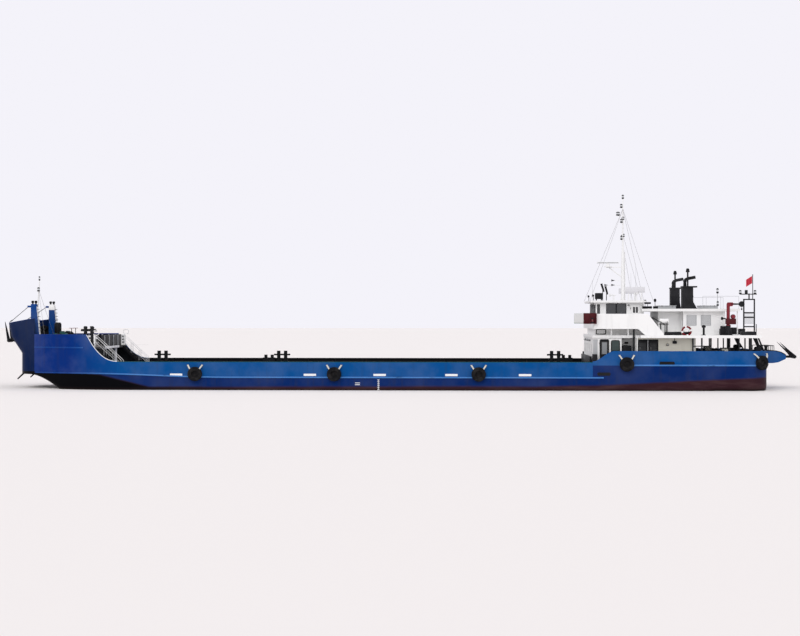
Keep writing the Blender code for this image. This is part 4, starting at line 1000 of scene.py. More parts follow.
def make_windlass():
    base = FORECASTLE_DECK + GAP
    shaft_x = DRUM_X - 0.35
    frame_piece = Piece("windlass_gear")
    frame_piece.add("black", box((DRUM_X - 1.0, DRUM_X + 1.0), (-1.25, 1.25), (base, base + 0.1), 0.02))
    for side in (-1, 1):
        outline = [(DRUM_X - 0.6, 5.2), (DRUM_X + 0.6, 5.2), (DRUM_X + 0.22, 6.42), (DRUM_X + 0.15, 6.5),
                   (DRUM_X - 0.15, 6.5), (DRUM_X - 0.22, 6.42)]
        frame_piece.add("teal", prism(outline, "y", (side * 0.85, side * 0.95)))
        frame_piece.add("teal", lathe([(0.17, 0), (0.17, 0.05), (0.13, 0.08)], (shaft_x, side * 0.95, DRUM_Z),
                                      (0, side, 0), sides=18))
        # Guard of the large gear
        frame_piece.add("black", lathe([(0.42, 0), (0.45, 0.02), (0.45, 0.10), (0.42, 0.12)],
                                       (DRUM_X + 0.28, side * 0.99, 5.85), (0, side, 0), sides=24))
    # Motor and its starter box, brake handwheels, chain pipes in the deck
    frame_piece.add("teal", box((DRUM_X + 0.32, DRUM_X + 0.88), (-0.28, 0.48), (5.25, 6.3), 0.04))
    frame_piece.add("black", lathe([(0.26, 0), (0.29, 0.03), (0.29, 0.85), (0.22, 0.95), (0, 0.95)],
                                   (DRUM_X + 0.62, 0.1, 6.3), sides=20))
    for i in range(12):
        angle = 2 * pi * i / 12
        fin = box((0.28, 0.315), (-0.012, 0.012), (0.08, 0.8))
        fin.transform(Matrix.Translation((DRUM_X + 0.62, 0.1, 6.3)) @ Matrix.Rotation(angle, 4, "Z"))
        frame_piece.add("black", fin)
    for side in (-1, 1):
        hub = (DRUM_X - 0.75, side * 0.7, 6.75)
        frame_piece.add("black", rod((DRUM_X - 0.75, side * 0.7, 5.25), hub, 0.03))
        frame_piece.add("red", tube([(hub[0] + 0.2 * cos(a), hub[1] + 0.2 * sin(a), hub[2])
                                     for a in [2 * pi * i / 20 for i in range(20)]], 0.02, closed=True))
        for turn in range(3):
            angle = pi * turn / 3
            frame_piece.add("red", tube([(hub[0] - 0.2 * cos(angle), hub[1] - 0.2 * sin(angle), hub[2]),
                                         (hub[0] + 0.2 * cos(angle), hub[1] + 0.2 * sin(angle), hub[2])], 0.013, 6))
        pipe = (DRUM_X - 0.95, side * 0.45, base)
        frame_piece.add("black", lathe([(0.16, 0), (0.16, 0.20), (0.19, 0.24), (0.16, 0.27), (0.10, 0.24)], pipe))
    frame_piece.make(replaces=["windlass_frame"])

    drum = Piece("windlass_shaft")
    drum.add("steel", rod((shaft_x, -0.849, DRUM_Z), (shaft_x, 0.849, DRUM_Z), 0.085, sides=20))
    for y in (-0.45, 0.45):
        profile = [(0.10, -0.16), (0.30, -0.16), (0.31, -0.12), (0.24, -0.06), (0.22, 0), (0.24, 0.06), (0.31, 0.12),
                   (0.30, 0.16), (0.10, 0.16)]
        drum.add("black", lathe(profile, (shaft_x, y, DRUM_Z), (0, 1, 0), sides=20))
        for i in range(10):
            angle = 2 * pi * i / 10
            cog = box((0.22, 0.29), (-0.03, 0.03), (-0.10, 0.10), 0.015)
            cog.transform(Matrix.Translation((shaft_x, y, DRUM_Z)) @ frame_of((0, 1, 0))
                          @ Matrix.Rotation(angle, 4, "Z"))
            drum.add("black", cog)
    drum.add("teal", lathe([(0.10, -0.06), (0.26, -0.06), (0.26, 0.06), (0.10, 0.06)], (shaft_x, 0, DRUM_Z),
                           (0, 1, 0), sides=28))
    drum.make(body="windlass_drum", replaces=["windlass_drum"])


def anchor_shape(piece, crown, tips, half=0.6):
    """A stockless anchor's head: a heavy crown and two flat flukes."""
    crown = Vector(crown)
    piece.add("black", lathe([(0, 0), (0.11, 0.0), (0.15, 0.05), (0.16, 0.12), (0.16, 2 * half - 0.12),
                              (0.15, 2 * half - 0.05), (0.11, 2 * half), (0, 2 * half)],
                             crown + Vector((0, -half, 0)), (0, 1, 0), sides=20))
    for side, tip in ((-1, tips[0]), (1, tips[1])):
        tip = Vector(tip)
        root = crown + Vector((0, side * 0.5, 0))
        along = (tip - root).normalized()
        flat = Vector((0, 1, 0))
        thick = along.cross(flat).normalized()
        rings = []
        # Share of the way to the tip, half width, half thickness
        for share, wide, deep in ((0.0, 0.13, 0.15), (0.25, 0.16, 0.11), (0.45, 0.21, 0.075), (0.65, 0.19, 0.05),
                                  (0.85, 0.11, 0.03), (1.0, 0.02, 0.012)):
            middle = root.lerp(tip, share)
            rings.append([middle + flat * wide * cos(a) + thick * deep * sin(a)
                          for a in [2 * pi * i / 12 for i in range(12)]])
        piece.add("black", loft(rings))


HAWSE_Z = 5.8


def make_anchors():
    reach = front_x(HAWSE_Z) - X_CHEEK
    seat = Vector((X_CHEEK + reach * (1 - 0.16 ** FRONT_POWER), 0, HAWSE_Z))
    outward = Vector((1.4, 0, -1.0)).normalized()
    crown = Vector((34.2, 0, 5.66))
    bow = Piece("bow_anchor_fitted")
    bow.add("black", rod(seat + outward * 0.004, seat + outward * 0.25, 0.10, sides=16))
    bow.add("black", rod(seat + outward * 0.2, crown, 0.10, 0.12, 16))
    # The bolster round the hawse pipe
    bow.add("black", lathe([(0.30, 0.0), (0.34, 0.04), (0.32, 0.09), (0.24, 0.11), (0.20, 0.08)],
                           seat - outward * 0.02, outward, sides=28))
    anchor_shape(bow, crown, ((34.49, -0.62, 7.33), (34.49, 0.62, 7.33)))
    ring = seat + outward * 0.30
    bow.add("black", tube([ring + Vector((0, 0.10 * cos(a), 0.10 * sin(a))) for a in [2 * pi * i / 16 for i in range(16)]],
                          0.025, closed=True))
    bow.make(replaces=["anchor_bow"])

    crown = Vector((-34.3845, 0, 4.30))
    stern = Piece("stern_anchor_fitted")
    stern.add("black", rod((PLATFORM_END - GAP, 0, crown.z), crown, 0.10, 0.11, 16))
    stern.add("black", lathe([(0.26, 0.0), (0.29, 0.05), (0.22, 0.10), (0.16, 0.08)], (PLATFORM_END, 0, crown.z),
                             (-1, 0, 0), sides=24))
    anchor_shape(stern, crown, ((-33.1, -0.62, 5.54), (-33.1, 0.62, 5.54)))
    stern.make(replaces=["anchor_stern"])


def make_stairs():
    top_x, foot_x, count = X_FORECASTLE - GAP, 22.9, 8
    foot_z = deck_height(foot_x + 0.3) + 4 * GAP
    for name, side in SIDES:
        middle = side * 5.3
        flight = Piece("stairs_fitted_" + name)
        for edge in (-0.42, 0.42):
            outline = [(foot_x, foot_z), (foot_x + 0.25, foot_z), (top_x, FORECASTLE_DECK - 0.25),
                       (top_x, FORECASTLE_DECK), (top_x - 0.05, FORECASTLE_DECK)]
            flight.add("black", prism(outline, "y", (middle + edge - 0.03, middle + edge + 0.03)))
            start = Vector((foot_x + 0.12, middle + edge, foot_z + 0.1))
            end = Vector((top_x - 0.05, middle + edge, FORECASTLE_DECK))
            rise = Vector((0, 0, 0.95))
            hand = [start, start + rise, end + rise, end + rise + Vector((0.35, 0, 0)), end + Vector((0.35, 0, 0))]
            flight.add("white", tube(bent(hand, 0.15), 0.022, sides=8))
            flight.add("white", tube([start + rise * 0.5, end + rise * 0.5], 0.014, sides=6))
            for share in (0.33, 0.66, 0.98):
                foot = start.lerp(end, share)
                flight.add("grey", rod(foot, foot + rise, 0.016, sides=6))
        for step in range(1, count):
            z = foot_z + (FORECASTLE_DECK - foot_z) * step / count
            x = foot_x + (top_x - foot_x) * step / count
            flight.add("black", box((x - 0.02, x + 0.24), (middle - 0.40, middle + 0.40), (z - 0.05, z - 0.02), 0.008))
        flight.make(replaces=["stair_" + name])


def make_forecastle():
    """The deck's after edge and bulwark, gates at the stairs, stiffeners and fittings."""
    repaint("deck", "forecastle_deck")
    edge = Piece("forecastle_trim")
    half = half_breadth(X_FORECASTLE) - PLATE - 0.02
    for y_span, finish in (((-half, -3.3), "black"), ((-3.3, 2.2), "white"), ((2.2, half), "black")):
        edge.add(finish, box((X_FORECASTLE - 0.08, X_FORECASTLE), y_span,
                             (FORECASTLE_UNDER - 0.06, FORECASTLE_DECK + 0.03), 0.01))
    # A black bulwark with pale stiffeners across the deck's after end, between the stairs
    edge.add("black", box((X_FORECASTLE + 0.06, X_FORECASTLE + 0.10), (-4.7, 3.0), (FORECASTLE_DECK, 6.17), 0.01))
    for y in (-3.2, -1.5, 0.2, 1.9):
        edge.add("grey", box((X_FORECASTLE, X_FORECASTLE + 0.06), (y - 0.05, y + 0.05), (FORECASTLE_DECK, 6.12), 0.01))
    for side in (-1, 1):
        y = side * 5.78
        # A gate plate with oval holes beside each stair
        edge.add("white", prism([(25.25, 5.15), (25.85, 5.15), (25.85, 6.16), (25.25, 6.16)], "y", (y - 0.02, y + 0.02)))
        for x in (25.41, 25.69):
            for z in (5.42, 5.68, 5.94):
                hole = rounded((x - 0.11, x + 0.11), (z - 0.07, z + 0.07), 0.065, 4)
                edge.add("black", prism(hole, "y", (y - 0.024, y + 0.024)))
        circle = [(25.16 + 0.26 * cos(a), y, 6.39 + 0.22 * sin(a)) for a in [2 * pi * i / 24 for i in range(24)]]
        edge.add("white", tube(circle, 0.03, closed=True))
        edge.add("white", rod((25.33, y, 5.15), (25.33, y, 6.24), 0.03))
        edge.add("white" if side < 0 else "black", rod((25.5, side * 3.0, deck_height(25.7) + 0.01),
                                                       (25.5, side * 3.0, FORECASTLE_UNDER), 0.125, sides=20))
    # Frames on the inside of the bow's bulwark, above and below the deck
    for side in (-1, 1):
        for x in steps(26.15, 30.6, 8):
            inner = half_breadth(x) - PLATE - 0.012
            for low, high in ((FORECASTLE_DECK + 0.02, bow_top(x) - 0.05), (deck_height(x) + 0.02, FORECASTLE_UNDER - 0.03)):
                if low > 5.0 or x < 27.0:
                    edge.add("grey", box((x - 0.02, x + 0.02), (side * (inner - 0.16), side * inner), (low, high)))
                    edge.add("grey", box((x - 0.06, x + 0.06), (side * (inner - 0.18), side * (inner - 0.16)), (low, high)))
    # Mushroom vents, hatch, fairleads
    for x, y, height, radius in ((27.2, 2.2, 0.75, 0.16), (27.2, -2.2, 0.75, 0.16), (28.1, 3.6, 0.55, 0.13),
                                 (28.1, -3.6, 0.55, 0.13)):
        vent(edge, (x, y, FORECASTLE_DECK), height, radius)
    hatch(edge, (26.9, 0.0, FORECASTLE_DECK), 0.9, 0.9, 0.35)
    for side in (-1, 1):
        edge.add("black", lathe([(0.20, -0.10), (0.25, -0.06), (0.25, 0.06), (0.20, 0.10), (0.14, 0.06), (0.14, -0.06)],
                                (32.0, side * 3.05, 6.75), (0.3, side, 0), sides=24))
    edge.make()


def vent(piece, foot, height, radius, finish="white"):
    """A mushroom ventilator."""
    piece.add(finish, lathe([(radius * 1.3, 0), (radius * 1.3, 0.03), (radius, 0.04), (radius, height - 0.12)], foot))
    piece.add(finish, lathe([(radius * 1.7, 0), (radius * 1.75, 0.05), (radius * 1.5, 0.14), (radius * 0.8, 0.20),
                             (0, 0.22)], (foot[0], foot[1], foot[2] + height - 0.16), sides=20))


def hatch(piece, foot, length, width, height, finish="white"):
    """A coaming with a lid, dogs and hinges."""
    x, y, z = foot
    piece.add(finish, box((x - length / 2, x + length / 2), (y - width / 2, y + width / 2), (z, z + height - 0.05), 0.02))
    piece.add(finish, box((x - length / 2 - 0.05, x + length / 2 + 0.05), (y - width / 2 - 0.05, y + width / 2 + 0.05),
                          (z + height - 0.05, z + height), 0.02))
    for corner_x in (-0.3, 0.3):
        for side in (-1, 1):
            piece.add("steel", tube([(x + corner_x * length, y + side * (width / 2 + 0.07), z + height - 0.14),
                                     (x + corner_x * length, y + side * (width / 2 + 0.07), z + height + 0.03)], 0.02))


# The poop

PLATFORM_HALF = 1.7
PLATFORM_END = -33.4


def make_poop():
    for name, side in SIDES:
        wall = Piece("poop_side_" + name)
        stations = [X_POOP] + steps(-16.8, -18.5, 16) + [X_CORNER] + corner_stations()
        wall_rings = []
        for x in stations:
            half = half_breadth(x)
            wall_rings.append([(x, side * y, z) for y, z in ((half, POOP_DECK + GAP), (half, poop_top(x)),
                                                             (half - PLATE, poop_top(x)), (half - PLATE, POOP_DECK + GAP))])
        section = ((X_TRANSOM, POOP_DECK + GAP), (X_TRANSOM, POOP_BULWARK_TOP),
                   (X_TRANSOM + PLATE, POOP_BULWARK_TOP), (X_TRANSOM + PLATE, POOP_DECK + GAP))
        for y in (HALF_BEAM - CORNER_RADIUS, PLATFORM_HALF + GAP):
            wall_rings.append([(x, side * y, z) for x, z in section])
        wall.add("hull_side", loft(wall_rings))
        wall.add("bulwark_inside", shell_loft(stations[:-3], lambda x: POOP_DECK + 0.02, lambda x: poop_top(x) - 0.05,
                                              side, outer=-PLATE - 0.001, thickness=0.008))
        rail = [(x, side * (half_breadth(x) - PLATE / 2), poop_top(x) - 0.01) for x in stations]
        rail += [(X_TRANSOM + PLATE / 2, side * y, POOP_BULWARK_TOP - 0.01) for y in (4.6, PLATFORM_HALF + 0.01)]
        wall.add("hull_side", tube(rail, 0.06, sides=10))
        # Bulwark stays
        for x in steps(-19.0, -29.0, 8):
            outline = [(side * 6.36, POOP_DECK + 0.01), (side * 6.36, 4.78), (side * 6.24, 4.78),
                       (side * 6.0, POOP_DECK + 0.01)]
            wall.add("bulwark_inside", prism(outline, "x", (x - 0.025, x + 0.025)))
        # The scuppers' slots through the side, filled with black plates: painted shade of the deck behind them, which
        # lies in the house's shadow
        for x, z, length in ((-17.52, 2.99, 1.0), (-22.72, 3.89, 1.15)):
            slot = rounded((x - length / 2, x + length / 2), (z - 0.09, z + 0.09), 0.085, 5)
            wall.add("black", ring_plate(rounded((x - length / 2 - 0.05, x + length / 2 + 0.05), (z - 0.14, z + 0.14),
                                                 0.12, 5), slot, "y", (side * 6.5, side * 6.515)))
            wall.add("black", prism(slot, "y", (side * 6.49, side * 6.506)))
        wall.make(replaces=["poop_bulwark_" + name])

    platform = Piece("stern_shelf")
    outline = [(X_TRANSOM - GAP, 3.75), (-32.3, 3.785), (-32.75, 3.85), (-33.2, 4.05), (-33.36, 4.12),
               (PLATFORM_END, 4.2), (PLATFORM_END, 4.46), (-33.3, 4.56), (-33.0, 4.72), (-32.6, 4.83), (-32.3, 4.85),
               (X_TRANSOM - GAP, 4.85)]
    platform.add("hull_side", prism(outline, "y", (-PLATFORM_HALF, PLATFORM_HALF)))
    platform.add("hull_side", box((X_TRANSOM - 0.2, X_TRANSOM + PLATE), (-PLATFORM_HALF, PLATFORM_HALF),
                                  (POOP_DECK + GAP, POOP_BULWARK_TOP)))
    for y in (-PLATFORM_HALF, PLATFORM_HALF):
        path = [(x, y, z) for x, z in outline]
        platform.add("black", tube(path[6:], 0.035))
    railing(platform, [(X_TRANSOM + 0.05, -1.62, 4.85), (-32.4, -1.62, 4.85), (-32.4, 1.62, 4.85),
                       (X_TRANSOM + 0.05, 1.62, 4.85)], height=0.42, rails=1, spacing=0.8, finish="black")
    for side in (-1, 1):
        platform.add("black", lathe([(0.14, 0), (0.14, 0.3), (0.18, 0.34), (0.18, 0.40), (0, 0.41)],
                                    (-31.8, side * 1.2, 4.85), sides=16))
    platform.make(replaces=["stern_platform"])


# Windows and doors

def window(piece, axis, face, outward, a_span, z_span, pane="glass", trim="black", corner=0.09, edge=0.045):
    """Glass set back in a cut opening, with a gasket ring over its edge on the outer face."""
    (a0, a1), (z0, z1) = sorted(a_span), sorted(z_span)
    ring_outer = rounded((a0 - edge, a1 + edge), (z0 - edge, z1 + edge), corner + edge, 5)
    ring_inner = rounded((a0 + 0.02, a1 - 0.02), (z0 + 0.02, z1 - 0.02), corner, 5)
    piece.add(trim, ring_plate(ring_outer, ring_inner, axis, sorted((face - outward * 0.01, face + outward * 0.018))))
    glass_span = sorted((face - outward * 0.03, face - outward * 0.05))
    piece.add(pane, prism([(a0, z0), (a1, z0), (a1, z1), (a0, z1)], axis, glass_span))


def bulkhead_lamp(piece, place, direction, radius=0.10, case="black"):
    """An oval wall light with its cage."""
    piece.add(case, lathe([(radius * 1.2, 0), (radius * 1.2, 0.04), (radius, 0.06)], place, direction, sides=16))
    piece.add("lens", lathe([(radius * 0.9, 0.04), (radius * 0.85, 0.12), (radius * 0.5, 0.17), (0, 0.18)],
                            place, direction, sides=16))
    turn = Matrix.Translation(place) @ frame_of(direction)
    for angle in (0, 90):
        hoop = tube([(radius * cos(a), 0, 0.04 + 0.17 * sin(a)) for a in steps(0, pi, 8)], 0.008, sides=6)
        hoop.transform(turn @ Matrix.Rotation(radians(angle), 4, "Z"))
        piece.add(case, hoop)


# The superstructure

HOUSE_HALF = 5.2
HOUSE_FRONT = -16.7
HOUSE_AFT = -25.25
HOUSE_Y = 3.3
WHEELHOUSE_FRONT = -17.1
WHEELHOUSE_AFT = -21.15
WING_HALF = 5.9
DOOR_GAP = 0.012
KNUCKLE = 0.035


def make_deckhouse():
    repaint("house_wall", *both("deckhouse_side"), "deckhouse_front", "deckhouse_aft")
    trim = Piece("deckhouse_fittings")
    for y in (-3.6, -1.2, 1.2, 3.6):
        # Pale panes in white rims: painted glare on the brightly lit front
        window(trim, "x", HOUSE_FRONT, 1, (y - 0.4, y + 0.4), (4.75, 5.45), pane="glare_pane", trim="white")
    for y in (-2.4, 0.0, 2.4):
        bulkhead_lamp(trim, (HOUSE_FRONT, y, 5.75), (1, 0, 0), 0.08)
    # A black coaming plate on the poop's front edge
    trim.add("black", box((X_POOP + 0.15, X_POOP + 0.002), (-5.1, 5.1), (3.3, 4.42), 0.01))
    for _, side in SIDES:
        wall = side * HOUSE_HALF
        window(trim, "y", wall, side, (-18.25, -18.92), (4.3, 5.75), pane="teal_glass", corner=0.12)
        # A pair of dark doors with louvres, and the pale post between them
        for x_fore, x_aft in ((-20.45, -21.2), (-21.36, -22.1)):
            trim.add("black", box((x_fore, x_aft), (wall - side * 0.07, wall - side * 0.03), (4.2, 5.8), 0.01))
            trim.add("black", ring_plate(rounded((x_aft - 0.05, x_fore + 0.05), (4.15, 5.85), 0.06, 3),
                                         rounded((x_aft + 0.02, x_fore - 0.02), (4.22, 5.78), 0.05, 3), "y",
                                         sorted((wall, wall + side * 0.02))))
            for z in steps(4.45, 5.55, 11):
                trim.add("dark_grey", prism([(side * 5.17, z), (side * 5.19, z - 0.04), (side * 5.18, z - 0.045)], "x",
                                            (x_aft + 0.08, x_fore - 0.08)))
            trim.add("steel", tube([((x_fore + x_aft) / 2 + 0.2, wall + side * 0.03, 5.0),
                                    ((x_fore + x_aft) / 2 + 0.2, wall + side * 0.03, 5.2)], 0.018))
        trim.add("grey", box((-21.25, -21.31), (wall, wall + side * 0.03), (3.75, 5.9), 0.01))
        # White frame round the forward doorway
        outer = rounded((-18.19, -17.1), (3.74, 5.96), 0.28, 6)
        inner = rounded((-18.09, -17.19), (3.77, 5.91), 0.20, 6)
        trim.add("white", ring_plate(outer, inner, "y", sorted((wall, wall + side * 0.03))))
        # Lamp and box on the cream wall, lamp and bench in the alcove
        bulkhead_lamp(trim, (-22.92, wall, 5.42), (0, side, 0), 0.10, "brown")
        trim.add("black", box((-23.32, -23.68), (wall, wall + side * 0.14), (5.50, 5.73), 0.02))
        trim.add("black", tube([(-23.5, wall + side * 0.03, 5.73), (-23.5, wall + side * 0.03, 5.95)], 0.02))
        trim.add("black", prism(rounded((-19.76, -19.42), (5.45, 5.62), 0.08, 5), "y",
                                sorted((side * 4.0, side * 4.12))))
        trim.add("white", tube([(-25.1, wall + side * 0.06, 3.8), (-25.1, wall + side * 0.06, 5.95)], 0.035))
        trim.add("black", box((-19.15, -19.95), (side * 4.25, side * 5.05), (3.72, 5.35), 0.12))
        # A black locker outside the house's forward corner
        trim.add("black", box((X_POOP - 0.03, -17.0), (side * 5.35, side * 6.1), (3.702, 4.62), 0.03))
        # The black pillar, with the white pipe beside it
        trim.add("black", box((-20.02, -20.18), (side * 5.28, side * 5.46), (3.72, 6.72), 0.015))
        trim.add("white", rod((-20.38, side * 5.34, 3.72), (-20.38, side * 5.34, 5.97), 0.06))
        trim.add("grey", box((-16.72, -17.12), (wall, wall + side * 0.015), (3.9, 5.85)))
    trim.make()

    for name, side in SIDES:
        wall, hinge_x, width = HOUSE_HALF, -17.25, 0.8
        door = Piece("cabin_door_" + name)
        low, high = 3.80, 5.86
        inner_face, outer_face = side * (wall + DOOR_GAP), side * (wall + 0.055)
        leaf_outer = rounded((hinge_x - width, hinge_x - 0.02), (low, high), 0.12, 5)
        opening = rounded((hinge_x - 0.68, hinge_x - 0.14), (4.55, 5.68), 0.10, 5)
        door.add("black", ring_plate(leaf_outer, opening, "y", sorted((inner_face, outer_face))))
        door.add("dark_glass", prism(opening, "y", sorted((side * (wall + 0.025), side * (wall + 0.035)))))
        folds = []
        for i, x in enumerate(steps(hinge_x - 0.62, hinge_x - 0.22, 16)):
            folds.append((x, side * (wall + 0.040 + 0.003 * (i % 2))))
        for x, y in folds[::-1]:
            folds.append((x, y - side * 0.004))
        door.add("curtain", prism(folds, "z", (4.62, 5.60)))
        axis_y = side * (wall + GAP + KNUCKLE)
        for z in (low + 0.25, high - 0.4):
            door.add("steel", rod((hinge_x, axis_y, z), (hinge_x, axis_y, z + 0.15), KNUCKLE, sides=16))
        door.add("steel", tube(bent([(hinge_x - 0.72, outer_face, 4.75), (hinge_x - 0.72, outer_face + side * 0.05, 4.75),
                                     (hinge_x - 0.72, outer_face + side * 0.05, 4.95),
                                     (hinge_x - 0.72, outer_face, 4.95)], 0.02, 2), 0.012, sides=6))
        door.make(body="deckhouse_door_" + name, replaces=["deckhouse_door_" + name])


def make_bridge():
    repaint("white", "bridge_deck", *both("bridge_bulwark"))
    repaint("boat_deck_paint", "boat_deck")
    trim = Piece("bridge_fittings")
    for _, side in SIDES:
        # The dark window of the trunk under the bridge, with pale bars
        window(trim, "y", side * 4.2, side, (-17.09, -17.84), (6.30, 6.66), corner=0.05)
        for x in (-17.34, -17.59):
            trim.add("white", box((x - 0.02, x + 0.02), (side * 4.2, side * 4.23), (6.30, 6.66)))
        # Rail caps of the wings, their brackets and the hand rails by the steps
        trim.add("white", tube([(-16.86, side * 5.85, 7.94), (-21.2, side * 5.85, 7.94), (-22.52, side * 5.85, 6.27)],
                               0.05, sides=10))
        for x in steps(-17.6, -20.8, 4):
            trim.add("white", prism([(side * 5.79, 6.87), (side * 5.79, 7.8), (side * 5.55, 6.87)], "x",
                                    (x - 0.02, x + 0.02)))
        for x in (-18.2, -19.6):
            trim.add("white", rod((x, side * 5.6, 6.2), (x, side * 5.6, 6.73), 0.05))
        steps_path = [(-22.75, side * 4.9, 6.22), (-21.62, side * 4.9, 6.86)]
        ladder(trim, *steps_path, width=0.7, pitch=0.22, finish="black", radius=0.03)
        rise = Vector((0, 0, 0.85))
        for edge in (-0.36, 0.36):
            low = Vector(steps_path[0]) + Vector((0, edge, 0))
            high = Vector(steps_path[1]) + Vector((0, edge, 0))
            trim.add("black", tube(bent([low, low + rise, high + rise, high], 0.12), 0.022))
    trim.add("white", tube([(-16.77, -5.85, 7.94), (-16.77, 5.85, 7.94)], 0.05, sides=10))
    for y in steps(-4.8, 4.8, 8):
        trim.add("white", prism([(-16.82, 6.87), (-16.82, 7.8), (-17.02, 6.87)], "y", (y - 0.02, y + 0.02)))
    trim.make()

    for name, side in SIDES:
        colour = "dark_red" if side > 0 else "green"
        light = Piece("sidelight_fitted_" + name)
        y0, y1 = side * (WING_HALF + GAP), side * (WING_HALF + 0.3)
        light.add(colour, box((-15.87, -16.95), (y0, y1), (7.15, 7.21), 0.012))
        light.add(colour, box((-15.87, -16.95), (y0, side * (WING_HALF + 0.05)), (7.18, 8.05), 0.012))
        light.add(colour, box((-16.89, -16.95), (side * (WING_HALF + 0.03), y1), (7.18, 8.05), 0.012))
        # The board's inboard face is white
        light.add("white", box((-15.88, -16.75), (side * (WING_HALF - 0.008), y0), (7.19, 8.04)))
        for x in (-15.92, -16.4, -16.85):
            light.add(colour, tube([(x, side * (WING_HALF + 0.03), 7.98), (x, y1 - side * 0.02, 7.21)], 0.02, 6))
        middle = side * (WING_HALF + 0.17)
        light.add("black", lathe([(0.10, 0), (0.11, 0.02), (0.11, 0.12)], (-16.6, middle, 7.2), sides=18))
        light.add("lens_red" if side > 0 else "lens_green",
                  lathe([(0.095, 0), (0.105, 0.08), (0.095, 0.22)], (-16.6, middle, 7.32), sides=18))
        light.add("black", lathe([(0.11, 0), (0.11, 0.04), (0.05, 0.12), (0, 0.13)], (-16.6, middle, 7.54), sides=18))
        light.make(replaces=["sidelight_" + name])


def make_wheelhouse():
    repaint("white", "wheelhouse_front", "wheelhouse_aft", "wheelhouse_roof", *both("wheelhouse_side"))
    trim = Piece("wheelhouse_fittings")
    for y in (-2.5, -1.25, 0, 1.25, 2.5):
        # Pale panes in all but the port window: painted glare on the brightly lit front
        window(trim, "x", WHEELHOUSE_FRONT, 1, (y - 0.48, y + 0.48), (7.95, 8.75), pane="glass" if y > 2 else "glare_pane")
    for y in (-1.8, 1.8):
        window(trim, "x", WHEELHOUSE_AFT, -1, (y - 0.6, y + 0.6), (8.0, 8.7))
    for _, side in SIDES:
        wall = side * HOUSE_Y
        window(trim, "y", wall, side, (-17.24, -17.42), (8.0, 8.78), corner=0.04, edge=0.03)
        window(trim, "y", wall, side, (-18.0, -18.8), (8.0, 8.85), corner=0.05, edge=0.03)
        window(trim, "y", wall, side, (-18.86, -19.65), (8.0, 8.85), corner=0.05, edge=0.03)
        trim.add("curtain", prism([(x, side * (3.262 + 0.004 * (i % 2))) for i, x in enumerate(steps(-18.70, -18.25, 18))]
                                  + [(-18.25, side * 3.258), (-18.70, side * 3.258)], "z", (8.10, 8.72)))
        trim.add("grey", tube([(-19.95, wall + side * 0.07, 7.6), (-18.9, wall + side * 0.07, 7.6)], 0.022))
        for x in (-19.95, -18.9):
            trim.add("grey", rod((x, wall, 7.6), (x, wall + side * 0.08, 7.6), 0.018, sides=6))
        bulkhead_lamp(trim, (-19.88, wall, 8.72), (0, side, 0), 0.06)
        # Eaves gutter and downpipe
        trim.add("white", tube([(-16.70, side * 3.70, 8.98), (-21.25, side * 3.70, 8.98)], 0.045, sides=8))
        trim.add("white", tube(bent([(-21.1, side * 3.68, 8.95), (-21.1, side * 3.34, 8.75), (-21.1, side * 3.34, 8.46)],
                                    0.08), 0.025))
    # Wipers over the front windows
    for y in (-1.25, 0, 1.25):
        trim.add("black", tube([(-17.05, y, 8.85), (-17.04, y + 0.22, 8.25)], 0.012, sides=6))
        trim.add("black", rod((-17.1, y, 8.85), (-17.02, y, 8.85), 0.03, sides=8))
    trim.make()

    for name, side in SIDES:
        hinge_x, width, wall = -20.05, 0.76, HOUSE_Y
        low, high = 6.92, 8.78
        door = Piece("wheelhouse_door_fitted_" + name)
        inner_face, outer_face = side * (wall + DOOR_GAP), side * (wall + 0.055)
        span = sorted((inner_face, outer_face))
        # The leaf in five upright strips and rails round its two slits
        edges = (0.02, 0.20, 0.34, 0.44, 0.58, width)
        for near, far in ((edges[0], edges[1]), (edges[2], edges[3]), (edges[4], edges[5])):
            door.add("white", box((hinge_x - near, hinge_x - far), span, (low, high)))
        for near, far in ((edges[1], edges[2]), (edges[3], edges[4])):
            door.add("white", box((hinge_x - near, hinge_x - far), span, (low, 8.1)))
            door.add("white", box((hinge_x - near, hinge_x - far), span, (8.55, high)))
            door.add("glass", box((hinge_x - near, hinge_x - far), (side * (wall + 0.025), side * (wall + 0.035)),
                                  (8.1, 8.55)))
            door.add("black", ring_plate(rounded((hinge_x - far - 0.02, hinge_x - near + 0.02), (8.08, 8.57), 0.03, 3),
                                         rounded((hinge_x - far + 0.008, hinge_x - near - 0.008), (8.108, 8.542),
                                                 0.02, 3), "y", sorted((outer_face, outer_face + side * 0.008))))
        axis_y = side * (wall + GAP + KNUCKLE)
        for z in (low + 0.25, high - 0.4):
            door.add("steel", rod((hinge_x, axis_y, z), (hinge_x, axis_y, z + 0.15), KNUCKLE, sides=16))
        door.add("steel", tube(bent([(hinge_x - 0.70, outer_face, 7.75), (hinge_x - 0.70, outer_face + side * 0.05, 7.75),
                                     (hinge_x - 0.70, outer_face + side * 0.05, 7.95),
                                     (hinge_x - 0.70, outer_face, 7.95)], 0.02, 2), 0.012, sides=6))
        door.make(body="wheelhouse_door_" + name, replaces=["wheelhouse_door_" + name])


